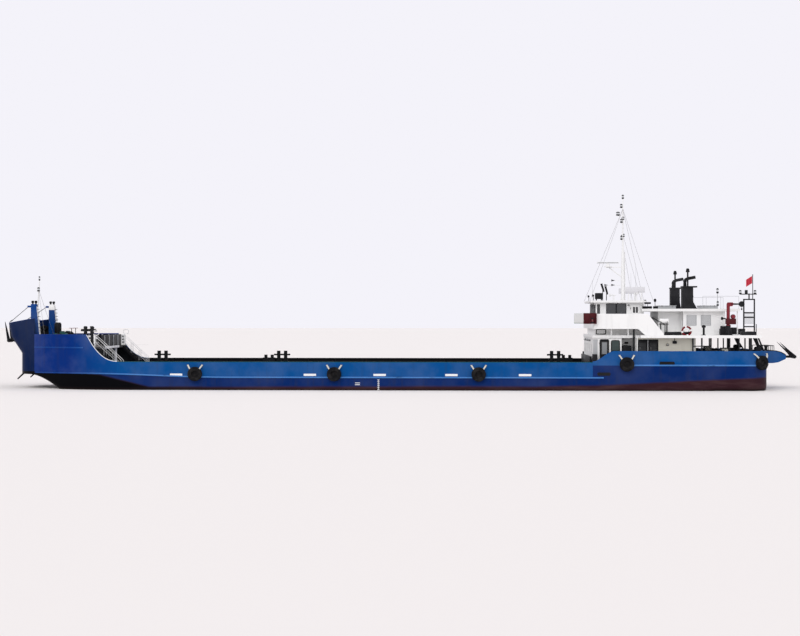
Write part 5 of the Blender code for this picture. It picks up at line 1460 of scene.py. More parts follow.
def make_roof_gear():
    """Lights, horns and the bare board on the wheelhouse roof."""
    gear = Piece("roof_gear")
    top = ROOF_TOP
    gear.add("white", box((-16.75, -21.2), (-3.65, 3.65), (top, top + 0.025), 0.01))
    # Black locker on feet, near the forward port corner
    gear.add("black", box((-17.09, -17.72), (2.3, 3.0), (9.25, 9.77), 0.04))
    for x in (-17.2, -17.62):
        for y in (2.4, 2.9):
            gear.add("black", rod((x, y, top), (x, y, 9.27), 0.03, sides=8))
    # Two slim searchlights that lean forward, each in a yoke on its post
    for y, low, high in ((2.5, (-17.86, 9.86), (-17.63, 10.57)), (1.7, (-18.23, 9.65), (-18.04, 10.37))):
        searchlight(gear, y, low, high, top)
    for x, y, z in ((-16.95, 2.6, 9.56), (-16.95, -2.6, 9.56)):
        gear.add("black", rod((x, y, top), (x, y, z - 0.06), 0.025, sides=8))
        gear.add("black", lathe([(0.05, 0), (0.10, 0.10), (0.10, 0.16), (0, 0.17)], (x - 0.06, y, z), (1, 0, 0), 14))
    # A bare pale board on two posts
    for side in (1, -1):
        y = side * 3.1
        gear.add("board", box((-19.63, -21.27), (y - 0.03, y + 0.03), (9.79, 10.28), 0.015))
        for x in (-19.9, -21.0):
            gear.add("white", rod((x, y - side * 0.06, top), (x, y - side * 0.06, 10.2), 0.03, sides=8))
            gear.add("white", rod((x, y - side * 0.06, 9.9), (x, y - side * 0.7, top + 0.02), 0.018, sides=6))
    # Horns on a bracket, domes and whips
    for y in (-0.5, 0.5):
        gear.add("white", rod((-18.9, y, top), (-18.9, y, top + 0.5), 0.03, sides=8))
        gear.add("white", lathe([(0.03, 0), (0.035, 0.25), (0.06, 0.42), (0.13, 0.55), (0.11, 0.55), (0.03, 0.4)],
                                (-19.1, y, top + 0.52), (1, 0, 0), sides=18))
    for x, y, radius in ((-20.8, 0.9, 0.20), (-20.9, -1.1, 0.16)):
        gear.add("white", rod((x, y, top), (x, y, top + 0.6), 0.035, sides=8))
        gear.add("white", lathe([(radius * 0.8, 0), (radius, 0.05), (radius, 0.14), (radius * 0.75, 0.25),
                                 (radius * 0.3, 0.31), (0, 0.32)], (x, y, top + 0.6), sides=20))
    for x, y, high in ((-20.6, 2.0, 12.2), (-20.6, -2.0, 11.6), (-17.2, -1.5, 11.0)):
        gear.add("white", rod((x, y, top), (x, y, top + 0.3), 0.035, sides=8))
        gear.add("grey", rod((x, y, top + 0.3), (x, y, high), 0.014, 0.006, sides=6))
    gear.make()


def searchlight(piece, y, low, high, deck):
    """A slim lamp between two points, given by x and z, in a fork on its post."""
    start, end = Vector((low[0], y, low[1])), Vector((high[0], y, high[1]))
    length, lean = (end - start).length, (end - start).normalized()
    profile = [(0, 0), (0.05, 0.01), (0.075, 0.08), (0.085, 0.3), (0.085, length - 0.07), (0.10, length - 0.06),
               (0.10, length)]
    piece.add("black", lathe(profile + [(0.08, length), (0.08, length - 0.03)], start, lean, sides=22))
    piece.add("lens", lathe([(0.082, length - 0.04), (0.082, length - 0.02), (0, length - 0.01)], start, lean, sides=22))
    pivot = start.lerp(end, 0.5)
    foot_z = start.z - 0.1
    piece.add("black", rod((pivot.x, y, deck), (pivot.x, y, foot_z), 0.035, sides=10))
    piece.add("black", lathe([(0.10, 0), (0.10, 0.03), (0.04, 0.05)], (pivot.x, y, deck)))
    fork = [(pivot.x, y - 0.12, pivot.z), (pivot.x, y - 0.12, foot_z), (pivot.x, y + 0.12, foot_z),
            (pivot.x, y + 0.12, pivot.z)]
    piece.add("black", tube(bent(fork, 0.06), 0.018))


FUNNEL_Y = 3.2
# Name, side, then x of the fore face, of the after face and of the foot's after end
FUNNELS = (
    ("port", 1, -24.36, -25.28, -25.6),
    ("starboard", -1, -24.2, -25.0, -25.15),
)


def make_casing():
    repaint("white", "engine_casing")
    trim = Piece("casing_fittings")
    for _, side in SIDES:
        # Louvred vents, doors and a ladder on the casing's sides
        wall = side * 3.8
        for x in (-25.1, -26.3):
            trim.add("grey", ring_plate(rounded((x - 0.42, x + 0.42), (7.0, 7.9), 0.05, 3),
                                        rounded((x - 0.36, x + 0.36), (7.06, 7.84), 0.03, 3), "y",
                                        sorted((wall, wall + side * 0.03))))
            for z in steps(7.12, 7.78, 9):
                trim.add("grey", prism([(side * 3.80, z + 0.03), (side * 3.825, z - 0.02), (side * 3.80, z - 0.02)], "x",
                                       (x - 0.36, x + 0.36)))
        trim.add("white", ring_plate(rounded((-27.65, -26.95), (6.25, 7.95), 0.1, 4),
                                     rounded((-27.60, -27.00), (6.30, 7.90), 0.08, 4), "y",
                                     sorted((wall, wall + side * 0.025))))
        ladder(trim, (-24.3, side * 3.3, 6.2), (-24.3, side * 3.3, 8.2), width=0.4, across=(0, 1, 0))
        railing(trim, [(-26.0, side * 4.1, CASING_ROOF), (-29.0, side * 4.1, CASING_ROOF)], height=1.05, rails=1,
                spacing=1.5, radius=0.014, finish="grey")
        # Pillars that carry the after end of the roof
        trim.add("white", rod((-28.9, side * 4.0, BOAT_DECK), (-28.9, side * 4.0, 8.2), 0.05))
        # Rolled black covers and lamps behind the wheelhouse
        for x, length in ((-20.95, 0.82), (-21.86, 0.41)):
            roll = [(0.08, 0), (0.11, 0.03), (0.10, length * 0.5), (0.11, length - 0.03), (0.08, length)]
            trim.add("black", lathe(roll, (x, side * 3.9, CASING_ROOF + 0.115), (-1, 0, 0), sides=14))
        trim.add("black", rod((-21.42, side * 3.8, CASING_ROOF), (-21.42, side * 3.8, 8.84), 0.022, sides=8))
        trim.add("black", box((-21.14, -21.69), (side * 3.72, side * 3.88), (8.82, 8.98), 0.03))
        trim.add("black", rod((-22.04, side * 3.8, CASING_ROOF), (-22.04, side * 3.8, 9.0), 0.022, sides=8))
        trim.add("black", lathe([(0.06, 0), (0.11, 0.06), (0.11, 0.22), (0.05, 0.28), (0, 0.28)],
                                (-22.04, side * 3.8, 8.99), sides=14))
    # A thin pole with two lamps, aft on the roof
    pole = (-27.35, 3.3)
    trim.add("grey", rod((*pole, CASING_ROOF), (*pole, 10.1), 0.03, 0.02, sides=8))
    lamp(trim, *pole, 9.72, 0.45, 0.10)
    lamp(trim, pole[0] - 0.02, pole[1], 8.68, 0.38, 0.10)
    for x, y in ((-23.4, 0.0), (-27.0, 0.0)):
        hatch(trim, (x, y, CASING_ROOF), 1.5, 2.0, 0.3, "grey")
    trim.make()

    for name, side, fore, aft, foot in FUNNELS:
        y = side * FUNNEL_Y
        funnel = Piece("funnel_fitted_" + name)
        rings = []
        # Height, after end and half width of the funnel's skin
        for z, end, half in ((CASING_ROOF + GAP, foot, 0.5), (8.55, foot + 0.06, 0.5), (9.0, aft - 0.01, 0.49),
                             (9.3, aft, 0.49), (10.3, aft, 0.48)):
            rings.append([(px, py, z) for px, py in rounded((end, fore), (y - half, y + half), 0.14, 4)])
        funnel.add("black", loft(rings))
        funnel.add("black", prism(rounded((foot, fore + 0.05), (y - 0.55, y + 0.55), 0.1, 4), "z", (10.22, 10.34)))
        funnel.add("black", prism(rounded((foot, fore + 0.02), (y - 0.52, y + 0.52), 0.1, 4), "z",
                                  (CASING_ROOF + GAP, CASING_ROOF + 0.07)))
        funnel.add("black", prism(rounded((aft - 0.02, fore + 0.02), (y - 0.51, y + 0.51), 0.15, 4), "z", (9.42, 9.52)))
        for z in steps(8.75, 9.25, 5):
            funnel.add("black", box((fore - 0.25, aft + 0.2), (y + side * 0.48, y + side * 0.515), (z, z + 0.05), 0.008))
        bend = [(fore - 0.26, y, 10.25), (fore - 0.26, y, 10.86), (fore - 0.5, y, 10.98), (fore - 1.14, y, 11.1)]
        funnel.add("black", tube(bent(bend, 0.24, 6), 0.135, sides=16))
        funnel.add("soot", lathe([(0.115, 0), (0.115, 0.012), (0, 0.012)], (fore - 1.135, y, 11.099), (-1, 0, 0.19)))
        for z in (10.40, 10.70):
            funnel.add("black", lathe([(0.14, 0), (0.165, 0.01), (0.165, 0.05), (0.14, 0.06)], (fore - 0.26, y, z)))
        pipe_x, pipe_y = fore - 0.46, y + side * 0.3
        funnel.add("black", rod((pipe_x, pipe_y, 10.3), (pipe_x, pipe_y, 11.55), 0.07, sides=14))
        funnel.add("black", lathe([(0.07, 0), (0.165, 0.02), (0.16, 0.10), (0.14, 0.22), (0.10, 0.33), (0, 0.345)],
                                  (pipe_x, pipe_y, 11.5), sides=16))
        ladder(funnel, (fore + 0.03, y, 8.45), (fore + 0.03, y, 10.2), width=0.35, finish="black", radius=0.012)
        funnel.make(replaces=["funnel_" + name])


def make_boat_deck_gear():
    gear = Piece("boat_deck_gear")
    for _, side in SIDES:
        # A rolled black cover along the edge
        gear.add("black", lathe([(0.10, 0), (0.15, 0.03), (0.135, 0.6), (0.15, 1.1), (0.135, 1.6), (0.15, 2.1),
                                 (0.10, 2.13)], (-22.6, side * 5.6, BOAT_DECK + 0.15), (-1, 0, 0), sides=12))
        lifebuoy(gear, (-24.4, side * 5.88, 6.55), (0, side, 0))
        for x in (-24.6, -24.2):
            gear.add("black", rod((x, side * 5.78, BOAT_DECK), (x, side * 5.78, 6.6), 0.022, sides=8))
        # Life-raft canister in its cradle
        gear.add("white", lathe([(0.12, 0), (0.21, 0.03), (0.225, 0.10), (0.225, 0.36), (0.235, 0.37), (0.235, 0.43),
                                 (0.225, 0.44), (0.225, 0.70), (0.21, 0.77), (0.12, 0.80)],
                                (-22.28, side * 4.6, 7.36), (-1, 0, 0), sides=24))
        for x in (-22.42, -22.94):
            for leg in (-0.2, 0.2):
                gear.add("black", rod((x, side * 4.6 + leg * 1.3, BOAT_DECK), (x, side * 4.6 + leg * 0.8, 7.24), 0.025, 0.025, 6))
            gear.add("black", tube([(x, side * 4.6 + 0.235 * cos(a), 7.36 + 0.235 * sin(a))
                                    for a in steps(pi, 2 * pi, 8)], 0.02, sides=6))
        gear.add("black", box((-22.3, -23.05), (side * 4.35, side * 4.85), (7.06, 7.10), 0.01))
        gear.add("black", lathe([(0.19, 0), (0.19, 0.04), (0.09, 0.06), (0.09, 0.62), (0.17, 0.66), (0.18, 0.74),
                                 (0.12, 0.84), (0, 0.87)], (-25.9, side * 5.3, BOAT_DECK), sides=18))
    # Lockers and drums that clutter the after end
    for x, y, size in ((-27.82, 4.6, (0.96, 0.7, 0.55)), (-27.6, 4.6, (0.4, 0.5, 0.77)), (-29.7, 4.6, (1.2, 0.8, 0.30)),
                       (-29.7, -3.8, (0.9, 1.4, 0.6)), (-30.2, -1.6, (0.5, 0.9, 0.5)), (-30.2, 2.6, (0.45, 1.1, 0.30))):
        gear.add("black", box((x - size[0] / 2, x + size[0] / 2), (y - size[1] / 2, y + size[1] / 2),
                              (BOAT_DECK + 0.005, BOAT_DECK + size[2]), 0.04))
    gear.add("black", lathe([(0.22, 0), (0.26, 0.04), (0.26, 0.26), (0.22, 0.30)], (-29.45, 3.5, BOAT_DECK), sides=20))
    gear.add("black", rod((-30.58, 3.4, BOAT_DECK), (-30.58, 3.4, 7.13), 0.035, sides=10))
    gear.make()


def lifebuoy(piece, centre, direction, radius=0.36):
    """A ring buoy, red with four narrow white bands and a grab line."""
    turn = Matrix.Translation(centre) @ frame_of(direction)
    count, section = 48, 0.075
    for start in range(0, count, 12):
        for first, last, banded in ((start, start + 3, True), (start + 3, start + 12, False)):
            arc = [(radius * cos(2 * pi * i / count), radius * sin(2 * pi * i / count), 0)
                   for i in range(first, last + 1)]
            ring = tube(arc, section * (1.03 if banded else 1.0), sides=12)
            ring.transform(turn)
            piece.add("white" if banded else "buoy_red", ring)
    line = []
    for i in range(count):
        angle = 2 * pi * i / count
        reach = radius + section + 0.02 + 0.03 * sin(2 * angle) ** 2
        line.append((reach * cos(angle), reach * sin(angle), 0))
    cord = tube(line, 0.008, sides=6, closed=True)
    cord.transform(turn)
    piece.add("rope", cord)


def make_poop_gear():
    """Winch, bollards, pipes and frames under the boat deck."""
    gear = Piece("poop_gear")
    deck = POOP_DECK
    for _, side in SIDES:
        # Mooring winch by the side
        for x in (-27.3, -28.1):
            gear.add("black", prism([(side * 4.2, deck), (side * 5.3, deck), (side * 5.0, 4.95), (side * 4.5, 4.95)], "x",
                                    (x - 0.05, x + 0.05)))
        gear.add("black", lathe([(0.16, 0), (0.42, 0.01), (0.42, 0.06), (0.24, 0.08), (0.24, 0.62), (0.42, 0.64),
                                 (0.42, 0.69), (0.16, 0.70)], (-27.35, side * 4.75, 4.75), (-1, 0, 0), sides=24))
        gear.add("rope", lathe([(0.24, 0.0)] + [(0.33 + 0.012 * (i % 2), 0.02 + 0.5 * i / 18) for i in range(19)]
                               + [(0.24, 0.54)], (-27.44, side * 4.75, 4.75), (-1, 0, 0), sides=24))
        gear.add("black", lathe([(0.10, 0), (0.24, 0.02), (0.16, 0.15), (0.16, 0.22), (0.24, 0.36), (0, 0.38)],
                                (-28.15, side * 4.75, 4.75), (-1, 0, 0), sides=20))
        for x in (-26.9, -27.45):
            gear.add("black", bollard_post((x, side * 5.5, deck), 1.25, 0.14))
        gear.add("black", box((-26.7, -27.65), (side * 5.25, side * 5.75), (deck, deck + 0.06), 0.01))
        # Dark frame behind the forward pillars
        gear.add("black", box((-24.95, -25.05), (side * 5.25, side * 5.35), (deck, 5.95), 0.01))
        gear.add("black", box((-24.95, -26.5), (side * 5.27, side * 5.33), (5.25, 5.33), 0.01))
        gear.add("black", box((-26.05, -26.85), (side * 5.0, side * 5.3), (deck, 4.95), 0.05))
        # Stores and the brace at the after end
        gear.add("black", box((-29.0, -30.1), (side * 4.3, side * 5.2), (deck, 4.98), 0.06))
        gear.add("black", lathe([(0.26, 0), (0.29, 0.03), (0.29, 0.85), (0.26, 0.9), (0, 0.9)], (-28.65, side * 5.1, deck),
                                sides=20))
        gear.add("black", lathe([(0.26, 0), (0.29, 0.03), (0.29, 1.45), (0.20, 1.55), (0, 1.58)], (-30.35, side * 5.2, deck),
                                sides=20))
        gear.add("black", tube([(-30.35, side * 5.72, 5.95), (-31.02, side * 4.9, 4.7)], 0.07, sides=8))
        gear.add("black", prism([(-30.05, 5.96), (-30.38, 5.96), (-30.71, 4.97), (-30.5, 4.97)], "y",
                                sorted((side * 4.75, side * 4.95))))
    gear.make()


# Masts, radar, davit, tower and flag

MAST_X = -19.7
RADAR_X = -18.4
RADAR_Z = 12.30


def make_masts():
    mast = Piece("mast_fitted")
    mast.add("white", lathe([(0.30, 0), (0.30, 0.03), (0.16, 0.05), (0.155, 2.2), (0.11, 4.4)],
                           (MAST_X, 0, ROOF_TOP + GAP), sides=18))
    for angle in range(0, 360, 60):
        fin = prism([(0.14, ROOF_TOP + 0.02), (0.29, ROOF_TOP + 0.02), (0.14, ROOF_TOP + 0.35)], "y", (-0.01, 0.01))
        fin.transform(Matrix.Translation((MAST_X, 0, 0)) @ Matrix.Rotation(radians(angle), 4, "Z"))
        mast.add("white", fin)
    mast.add("white", rod((MAST_X, 0, 13.4), (MAST_X, 0, 18.3), 0.085, 0.035, 14))
    mast.add("white", box((MAST_X, RADAR_X + 0.15), (-0.08, 0.08), (12.02, 12.10), 0.01))
    mast.add("white", prism(rounded((RADAR_X - 0.32, RADAR_X + 0.32), (-0.28, 0.28), 0.06, 3), "z", (12.08, 12.12)))
    mast.add("white", lathe([(0.20, 0), (0.20, 0.03), (0.16, 0.06), (0.16, RADAR_Z - 12.12)], (RADAR_X, 0, 12.12), sides=20))
    mast.add("white", rod((MAST_X + 0.1, 0, 11.2), (RADAR_X - 0.1, 0, 12.03), 0.045))
    for z, half in ((14.6, 0.9), (16.1, 0.55)):
        mast.add("white", rod((MAST_X, -half, z), (MAST_X, half, z), 0.035, sides=10))
    # Lamps: forward offset, side offset, foot, height, radius
    for dx, dy, foot, height, radius in ((0, 0, 18.0, 0.36, 0.10), (0.14, 0, 17.22, 0.34, 0.11), (0.42, 0, 16.54, 0.34, 0.17),
                                         (0.12, 0, 15.92, 0.34, 0.12), (0.12, 0, 14.44, 0.34, 0.11),
                                         (0, 0.85, 14.64, 0.28, 0.08), (0, -0.85, 14.64, 0.28, 0.08),
                                         (0, 0.5, 16.14, 0.28, 0.08), (0, -0.5, 16.14, 0.28, 0.08)):
        lamp(mast, MAST_X + dx, dy, foot, height, radius)
        if dx:
            mast.add("white", box((MAST_X, MAST_X + dx + 0.04), (-0.03, 0.03), (foot - 0.03, foot), 0.005))
    for side in (-1, 1):
        mast.add("steel", tube([(MAST_X, side * 0.88, 14.58), (-20.9, side * 3.5, ROOF_TOP + 0.02)], 0.010, sides=5))
        mast.add("steel", tube([(MAST_X, side * 0.08, 17.1), (-21.9, side * 3.55, ROOF_TOP + 0.02)], 0.010, sides=5))
        mast.add("steel", tube([(MAST_X, side * 0.08, 17.1), (-16.6, side * 3.55, ROOF_TOP + 0.02)], 0.010, sides=5))
    ladder(mast, (MAST_X - 0.19, 0, ROOF_TOP + 0.1), (MAST_X - 0.17, 0, 13.4), width=0.34, finish="white", radius=0.014)
    # Three horns under the radar
    for x, z in ((-18.95, 10.9), (-18.35, 10.5), (-18.95, 10.5)):
        mast.add("black", lathe([(0.03, 0), (0.04, 0.12), (0.10, 0.26), (0.085, 0.26), (0.03, 0.13)], (x, 0.25, z), (1, 0, 0)))
        mast.add("white", rod((MAST_X, 0.05, z - 0.02), (x + 0.05, 0.25, z - 0.02), 0.018, sides=6))
    mast.make(replaces=["main_mast"])

    scanner = Piece("radar_fitted")
    scanner.add("white", lathe([(0.09, 0), (0.09, 0.10)], (RADAR_X, 0, RADAR_Z + GAP), sides=20))
    rings = []
    for x, half, deep in ((-0.95, 0.03, 0.04), (-0.92, 0.06, 0.065), (0.92, 0.06, 0.065), (0.95, 0.03, 0.04)):
        rings.append([(RADAR_X + x, y, z) for y, z in rounded((-half, half), (RADAR_Z + 0.15 - deep, RADAR_Z + 0.15 + deep),
                                                              0.03, 3)])
    scanner.add("white", loft(rings))
    scanner.add("grey", box((RADAR_X - 0.9, RADAR_X + 0.9), (0.055, 0.066), (RADAR_Z + 0.11, RADAR_Z + 0.19)))
    scanner.make(body="radar_scanner", replaces=["radar_scanner"])


DAVIT_X = -27.9
DAVIT_Y = 5.45
DAVIT_SLEW_Z = 7.0
DAVIT_LUFF_Z = 8.8
DAVIT_LUFF_X = DAVIT_X - 0.28
SHEAVE_X = DAVIT_LUFF_X - 0.83
TOWER_Y = 1.0
STAFF_X = -30.71


def make_davit():
    post = Piece("davit_stand")
    post.add("black", prism(rounded((DAVIT_X - 0.35, DAVIT_X + 0.35), (DAVIT_Y - 0.35, DAVIT_Y + 0.35), 0.05, 3), "z",
                            (BOAT_DECK + GAP, BOAT_DECK + 0.06)))
    post.add("black", lathe([(0.2, 0), (0.2, 0.68), (0.23, 0.70), (0.23, 0.75)], (DAVIT_X, DAVIT_Y, BOAT_DECK + 0.05), sides=22))
    for angle in (45, 135, 225, 315):
        fin = prism([(0.18, BOAT_DECK + 0.05), (0.36, BOAT_DECK + 0.05), (0.18, BOAT_DECK + 0.5)], "y", (-0.015, 0.015))
        fin.transform(Matrix.Translation((DAVIT_X, DAVIT_Y, 0)) @ Matrix.Rotation(radians(angle), 4, "Z"))
        post.add("black", fin)
    post.make(replaces=["davit_post"])

    column = Piece("davit_pillar")
    column.add("red", lathe([(0.20, 0), (0.20, 0.05), (0.14, 0.08), (0.14, 1.80), (0.11, 1.88), (0, 1.89)],
                            (DAVIT_X, DAVIT_Y, DAVIT_SLEW_Z + GAP), sides=22))
    # The winch around it, with a ribbed motor, and the hand gear forward of that
    column.add("dark_red", box((DAVIT_X + 0.21, DAVIT_X - 0.62), (DAVIT_Y - 0.26, DAVIT_Y + 0.26), (7.11, 7.6), 0.04))
    column.add("red", lathe([(0.15, 0), (0.17, 0.03), (0.17, 0.5), (0.15, 0.54), (0, 0.54)],
                            (DAVIT_X - 0.40, DAVIT_Y - 0.27, 7.76), (0, 1, 0), sides=20))
    for y in steps(-0.2, 0.18, 6):
        column.add("dark_red", lathe([(0.17, 0), (0.185, 0.005), (0.185, 0.02), (0.17, 0.025)],
                                     (DAVIT_X - 0.40, DAVIT_Y + y, 7.76), (0, 1, 0), sides=20))
    column.add("black", lathe([(0.05, 0), (0.05, 0.2), (0.12, 0.22), (0.12, 0.38), (0.09, 0.40), (0, 0.40)],
                              (DAVIT_X + 0.2, DAVIT_Y, 7.6), (1, 0, 0), sides=16))
    for edge in (-1, 1):
        y = DAVIT_Y + edge * 0.12
        outline = [(DAVIT_X + 0.05, 8.60), (DAVIT_X + 0.05, 8.94), (DAVIT_LUFF_X - 0.06, 8.94),
                   (DAVIT_LUFF_X - 0.12, 8.88), (DAVIT_LUFF_X - 0.12, 8.72), (DAVIT_LUFF_X - 0.04, 8.62)]
        column.add("red", prism(outline, "y", (y - 0.02, y + 0.02)))
        column.add("black", lathe([(0.06, 0), (0.06, 0.02), (0, 0.022)], (DAVIT_LUFF_X, y + edge * 0.02, DAVIT_LUFF_Z), (0, edge, 0)))
    column.make(body="davit_column", replaces=["davit_column"])

    boom = Piece("davit_jib")
    boom.add("black", rod((DAVIT_LUFF_X, DAVIT_Y - 0.0985, DAVIT_LUFF_Z), (DAVIT_LUFF_X, DAVIT_Y + 0.0985, DAVIT_LUFF_Z),
                          0.085, sides=20))
    rings = []
    for share, wide, deep in ((0.0, 0.066, 0.068), (0.04, 0.068, 0.07), (1.0, 0.055, 0.055)):
        x = DAVIT_LUFF_X - 0.03 - 0.72 * share
        rings.append([(x, y, z) for y, z in rounded((DAVIT_Y - wide, DAVIT_Y + wide), (DAVIT_LUFF_Z - deep, DAVIT_LUFF_Z + deep),
                                                    0.02, 3)])
    boom.add("black", loft(rings))
    boom.add("black", lathe([(0.06, 0), (0.235, 0), (0.24, 0.03), (0.20, 0.08), (0.24, 0.13), (0.235, 0.16), (0.06, 0.16)],
                            (SHEAVE_X, DAVIT_Y - 0.08, DAVIT_LUFF_Z), (0, 1, 0), sides=28))
    boom.add("black", rod((SHEAVE_X, DAVIT_Y, DAVIT_LUFF_Z - 0.2), (SHEAVE_X, DAVIT_Y, DAVIT_LUFF_Z - 0.36), 0.014, sides=8))
    boom.add("black", prism(rounded((SHEAVE_X - 0.05, SHEAVE_X + 0.05), (8.3, 8.46), 0.04, 4), "y",
                            (DAVIT_Y - 0.04, DAVIT_Y + 0.04)))
    boom.make(body="davit_boom", replaces=["davit_boom"])


def make_tower():
    tower = Piece("light_tower_fitted")
    for x in (-29.95, -30.85):
        tower.add("black", box((x - 0.055, x + 0.055), (TOWER_Y - 0.055, TOWER_Y + 0.055), (BOAT_DECK + GAP, 9.29), 0.012))
        tower.add("black", box((x - 0.14, x + 0.14), (TOWER_Y - 0.14, TOWER_Y + 0.14), (BOAT_DECK + GAP, BOAT_DECK + 0.03)))
    for z in (6.9, 7.7, 8.1, 9.24):
        tower.add("black", box((-29.9, -30.9), (TOWER_Y - 0.045, TOWER_Y + 0.045), (z - 0.055, z + 0.05), 0.01))
    # Grey panel between two of the bars, louvred
    for low, high in ((7.16, 7.62), (7.78, 8.02)):
        for z in steps(low, high, max(2, int((high - low) / 0.09))):
            tower.add("grey", box((-29.98, -30.80), (TOWER_Y - 0.02, TOWER_Y + 0.02), (z - 0.02, z + 0.02)))
    tower.add("black", rod((-30.4, TOWER_Y, 9.2), (-30.4, TOWER_Y, 9.75), 0.06))
    tower.add("black", box((-29.6, -31.05), (TOWER_Y - 0.05, TOWER_Y + 0.05), (9.65, 9.73), 0.01))
    for x in (-29.65, -30.91):
        lamp(tower, x, TOWER_Y, 9.70, 0.34, 0.12)
    tower.add("black", lathe([(0.12, 0), (0.13, 0.02), (0.13, 0.34), (0.09, 0.35)], (-30.16, TOWER_Y, 9.70), (0, 0, 1), 18))
    tower.add("black", rod((STAFF_X, TOWER_Y, 9.2), (STAFF_X, TOWER_Y, 11.36), 0.036, 0.028))
    tower.add("black", lathe([(0.03, 0), (0.05, 0.02), (0.05, 0.04), (0, 0.06)], (STAFF_X, TOWER_Y, 11.33), sides=12))
    tower.make(replaces=["stern_tower"])


FLAG_HOIST = 0.62
FLAG_FLY = 0.93


def make_flag():
    """A plain flag that hangs in folds from its staff."""
    rows, columns = 14, 72
    step = FLAG_FLY / columns
    droop = 0.36
    # The folds' path seen from above: it swings from side to side and keeps its length
    path = [(0.0, 0.0, 0.0)]
    for j in range(columns):
        share = (j + 0.5) / columns
        swing = 1.32 * sin(2 * pi * 2.6 * share + 0.4)
        run = step * sqrt(1 - droop ** 2)
        x, y, _ = path[-1]
        path.append((x + run * cos(swing), y + run * sin(swing), swing))
    mesh = bmesh.new()
    sheets = []
    for layer in (-0.004, 0.004):
        grid = []
        for i in range(rows + 1):
            z_hoist = 10.65 + FLAG_HOIST * i / rows
            line = []
            for j, (x, y, swing) in enumerate(path):
                place = (STAFF_X + 0.045 + x - layer * sin(swing), TOWER_Y + y + layer * cos(swing),
                         z_hoist - droop * step * j)
                line.append(mesh.verts.new(place))
            grid.append(line)
        sheets.append(grid)
    for grid in sheets:
        for i in range(rows):
            for j in range(columns):
                mesh.faces.new((grid[i][j], grid[i][j + 1], grid[i + 1][j + 1], grid[i + 1][j]))
    near, far = sheets
    border = [(0, j) for j in range(columns + 1)] + [(i, columns) for i in range(1, rows + 1)]
    border += [(rows, j) for j in range(columns - 1, -1, -1)] + [(i, 0) for i in range(rows - 1, 0, -1)]
    for (a, b), (c, d) in zip(border, border[1:] + border[:1]):
        mesh.faces.new((near[a][b], far[a][b], far[c][d], near[c][d]))
    bmesh.ops.recalc_face_normals(mesh, faces=mesh.faces)
    flag = Piece("flag_cloth")
    flag.add("flag_cloth", mesh)
    return flag.make(replaces=["flag"], sharp=80)


def make_marks():
    """White plates along the side, load marks as plain bars, and draught ticks."""
    marks = Piece("hull_marks")
    for _, side in SIDES:
        face, proud = side * (HALF_BEAM + 0.001), side * (HALF_BEAM + 0.014)
        for x in (18.2, 6.94, 1.1, -4.88, -11.0):
            marks.add("white", prism(rounded((x - 0.52, x + 0.52), (2.80, 2.98), 0.03, 2), "y", sorted((face, proud))))
        for z in (2.05, 2.20):
            marks.add("white", box((3.15, 2.75), (face, proud), (z, z + 0.05)))
        for z in steps(1.65, 2.45, 5):
            marks.add("white", box((1.12, 1.28), (face, proud), (z, z + 0.06)))
        marks.add("white", box((1.18, 1.22), (face, proud), (1.65, 2.5)))
    marks.make()


def make_propulsion():
    for name, side in SIDES:
        y = side * 2.7
        centre = Vector((-27.2, y, 0.75))
        propeller = Piece("propeller_fitted_" + name)
        propeller.add("bronze", lathe([(0.15, 0), (0.155, 0.05), (0.14, 0.25), (0.11, 0.36), (0.05, 0.42), (0, 0.42)],
                                      (-27.0 - GAP, y, 0.75), (-1, 0, 0), sides=24))
        for blade in range(4):
            rings = []
            for share in steps(0, 1, 10):
                radius = 0.10 + 0.545 * share
                chord = 0.13 + 0.42 * sin(pi * min(share * 0.62 + 0.12, 1.0)) * (1 - share ** 7)
                pitch = side * (1.05 - 0.55 * share)
                ring = []
                for a in [2 * pi * i / 12 for i in range(12)]:
                    u, v = chord / 2 * cos(a), (0.022 - 0.014 * share) * sin(a)
                    ring.append((u * sin(pitch) + v * cos(pitch), u * cos(pitch) - v * sin(pitch), radius))
                rings.append(ring)
            leaf = loft(rings)
            leaf.transform(Matrix.Translation(centre) @ Matrix.Rotation(2 * pi * blade / 4, 4, "X"))
            propeller.add("bronze", leaf)
        propeller.make(body="propeller_" + name, replaces=["propeller_" + name])

        rudder = Piece("rudder_fitted_" + name)
        rings = []
        for z in (0.15, 0.17, 1.32, 1.34):
            trim = 0.97 if z in (0.15, 1.34) else 1.0
            outline = []
            for share in steps(0, 1, 12):
                x = -28.15 - 1.4 * share
                half = 0.085 * trim * (2.6 * sqrt(share) * (1 - share) ** 0.9 if share < 1 else 0) + 0.012
                outline.append((x, y + half))
            outline += [(x, 2 * y - edge) for x, edge in reversed(outline)]
            rings.append([(x, edge, z) for x, edge in outline])
        rudder.add("hull_shell", loft(rings))
        rudder.add("steel", rod((-28.6, y, 1.3), (-28.6, y, 1.48 - GAP), 0.072, sides=20))
        rudder.make(body="rudder_" + name, replaces=["rudder_" + name])


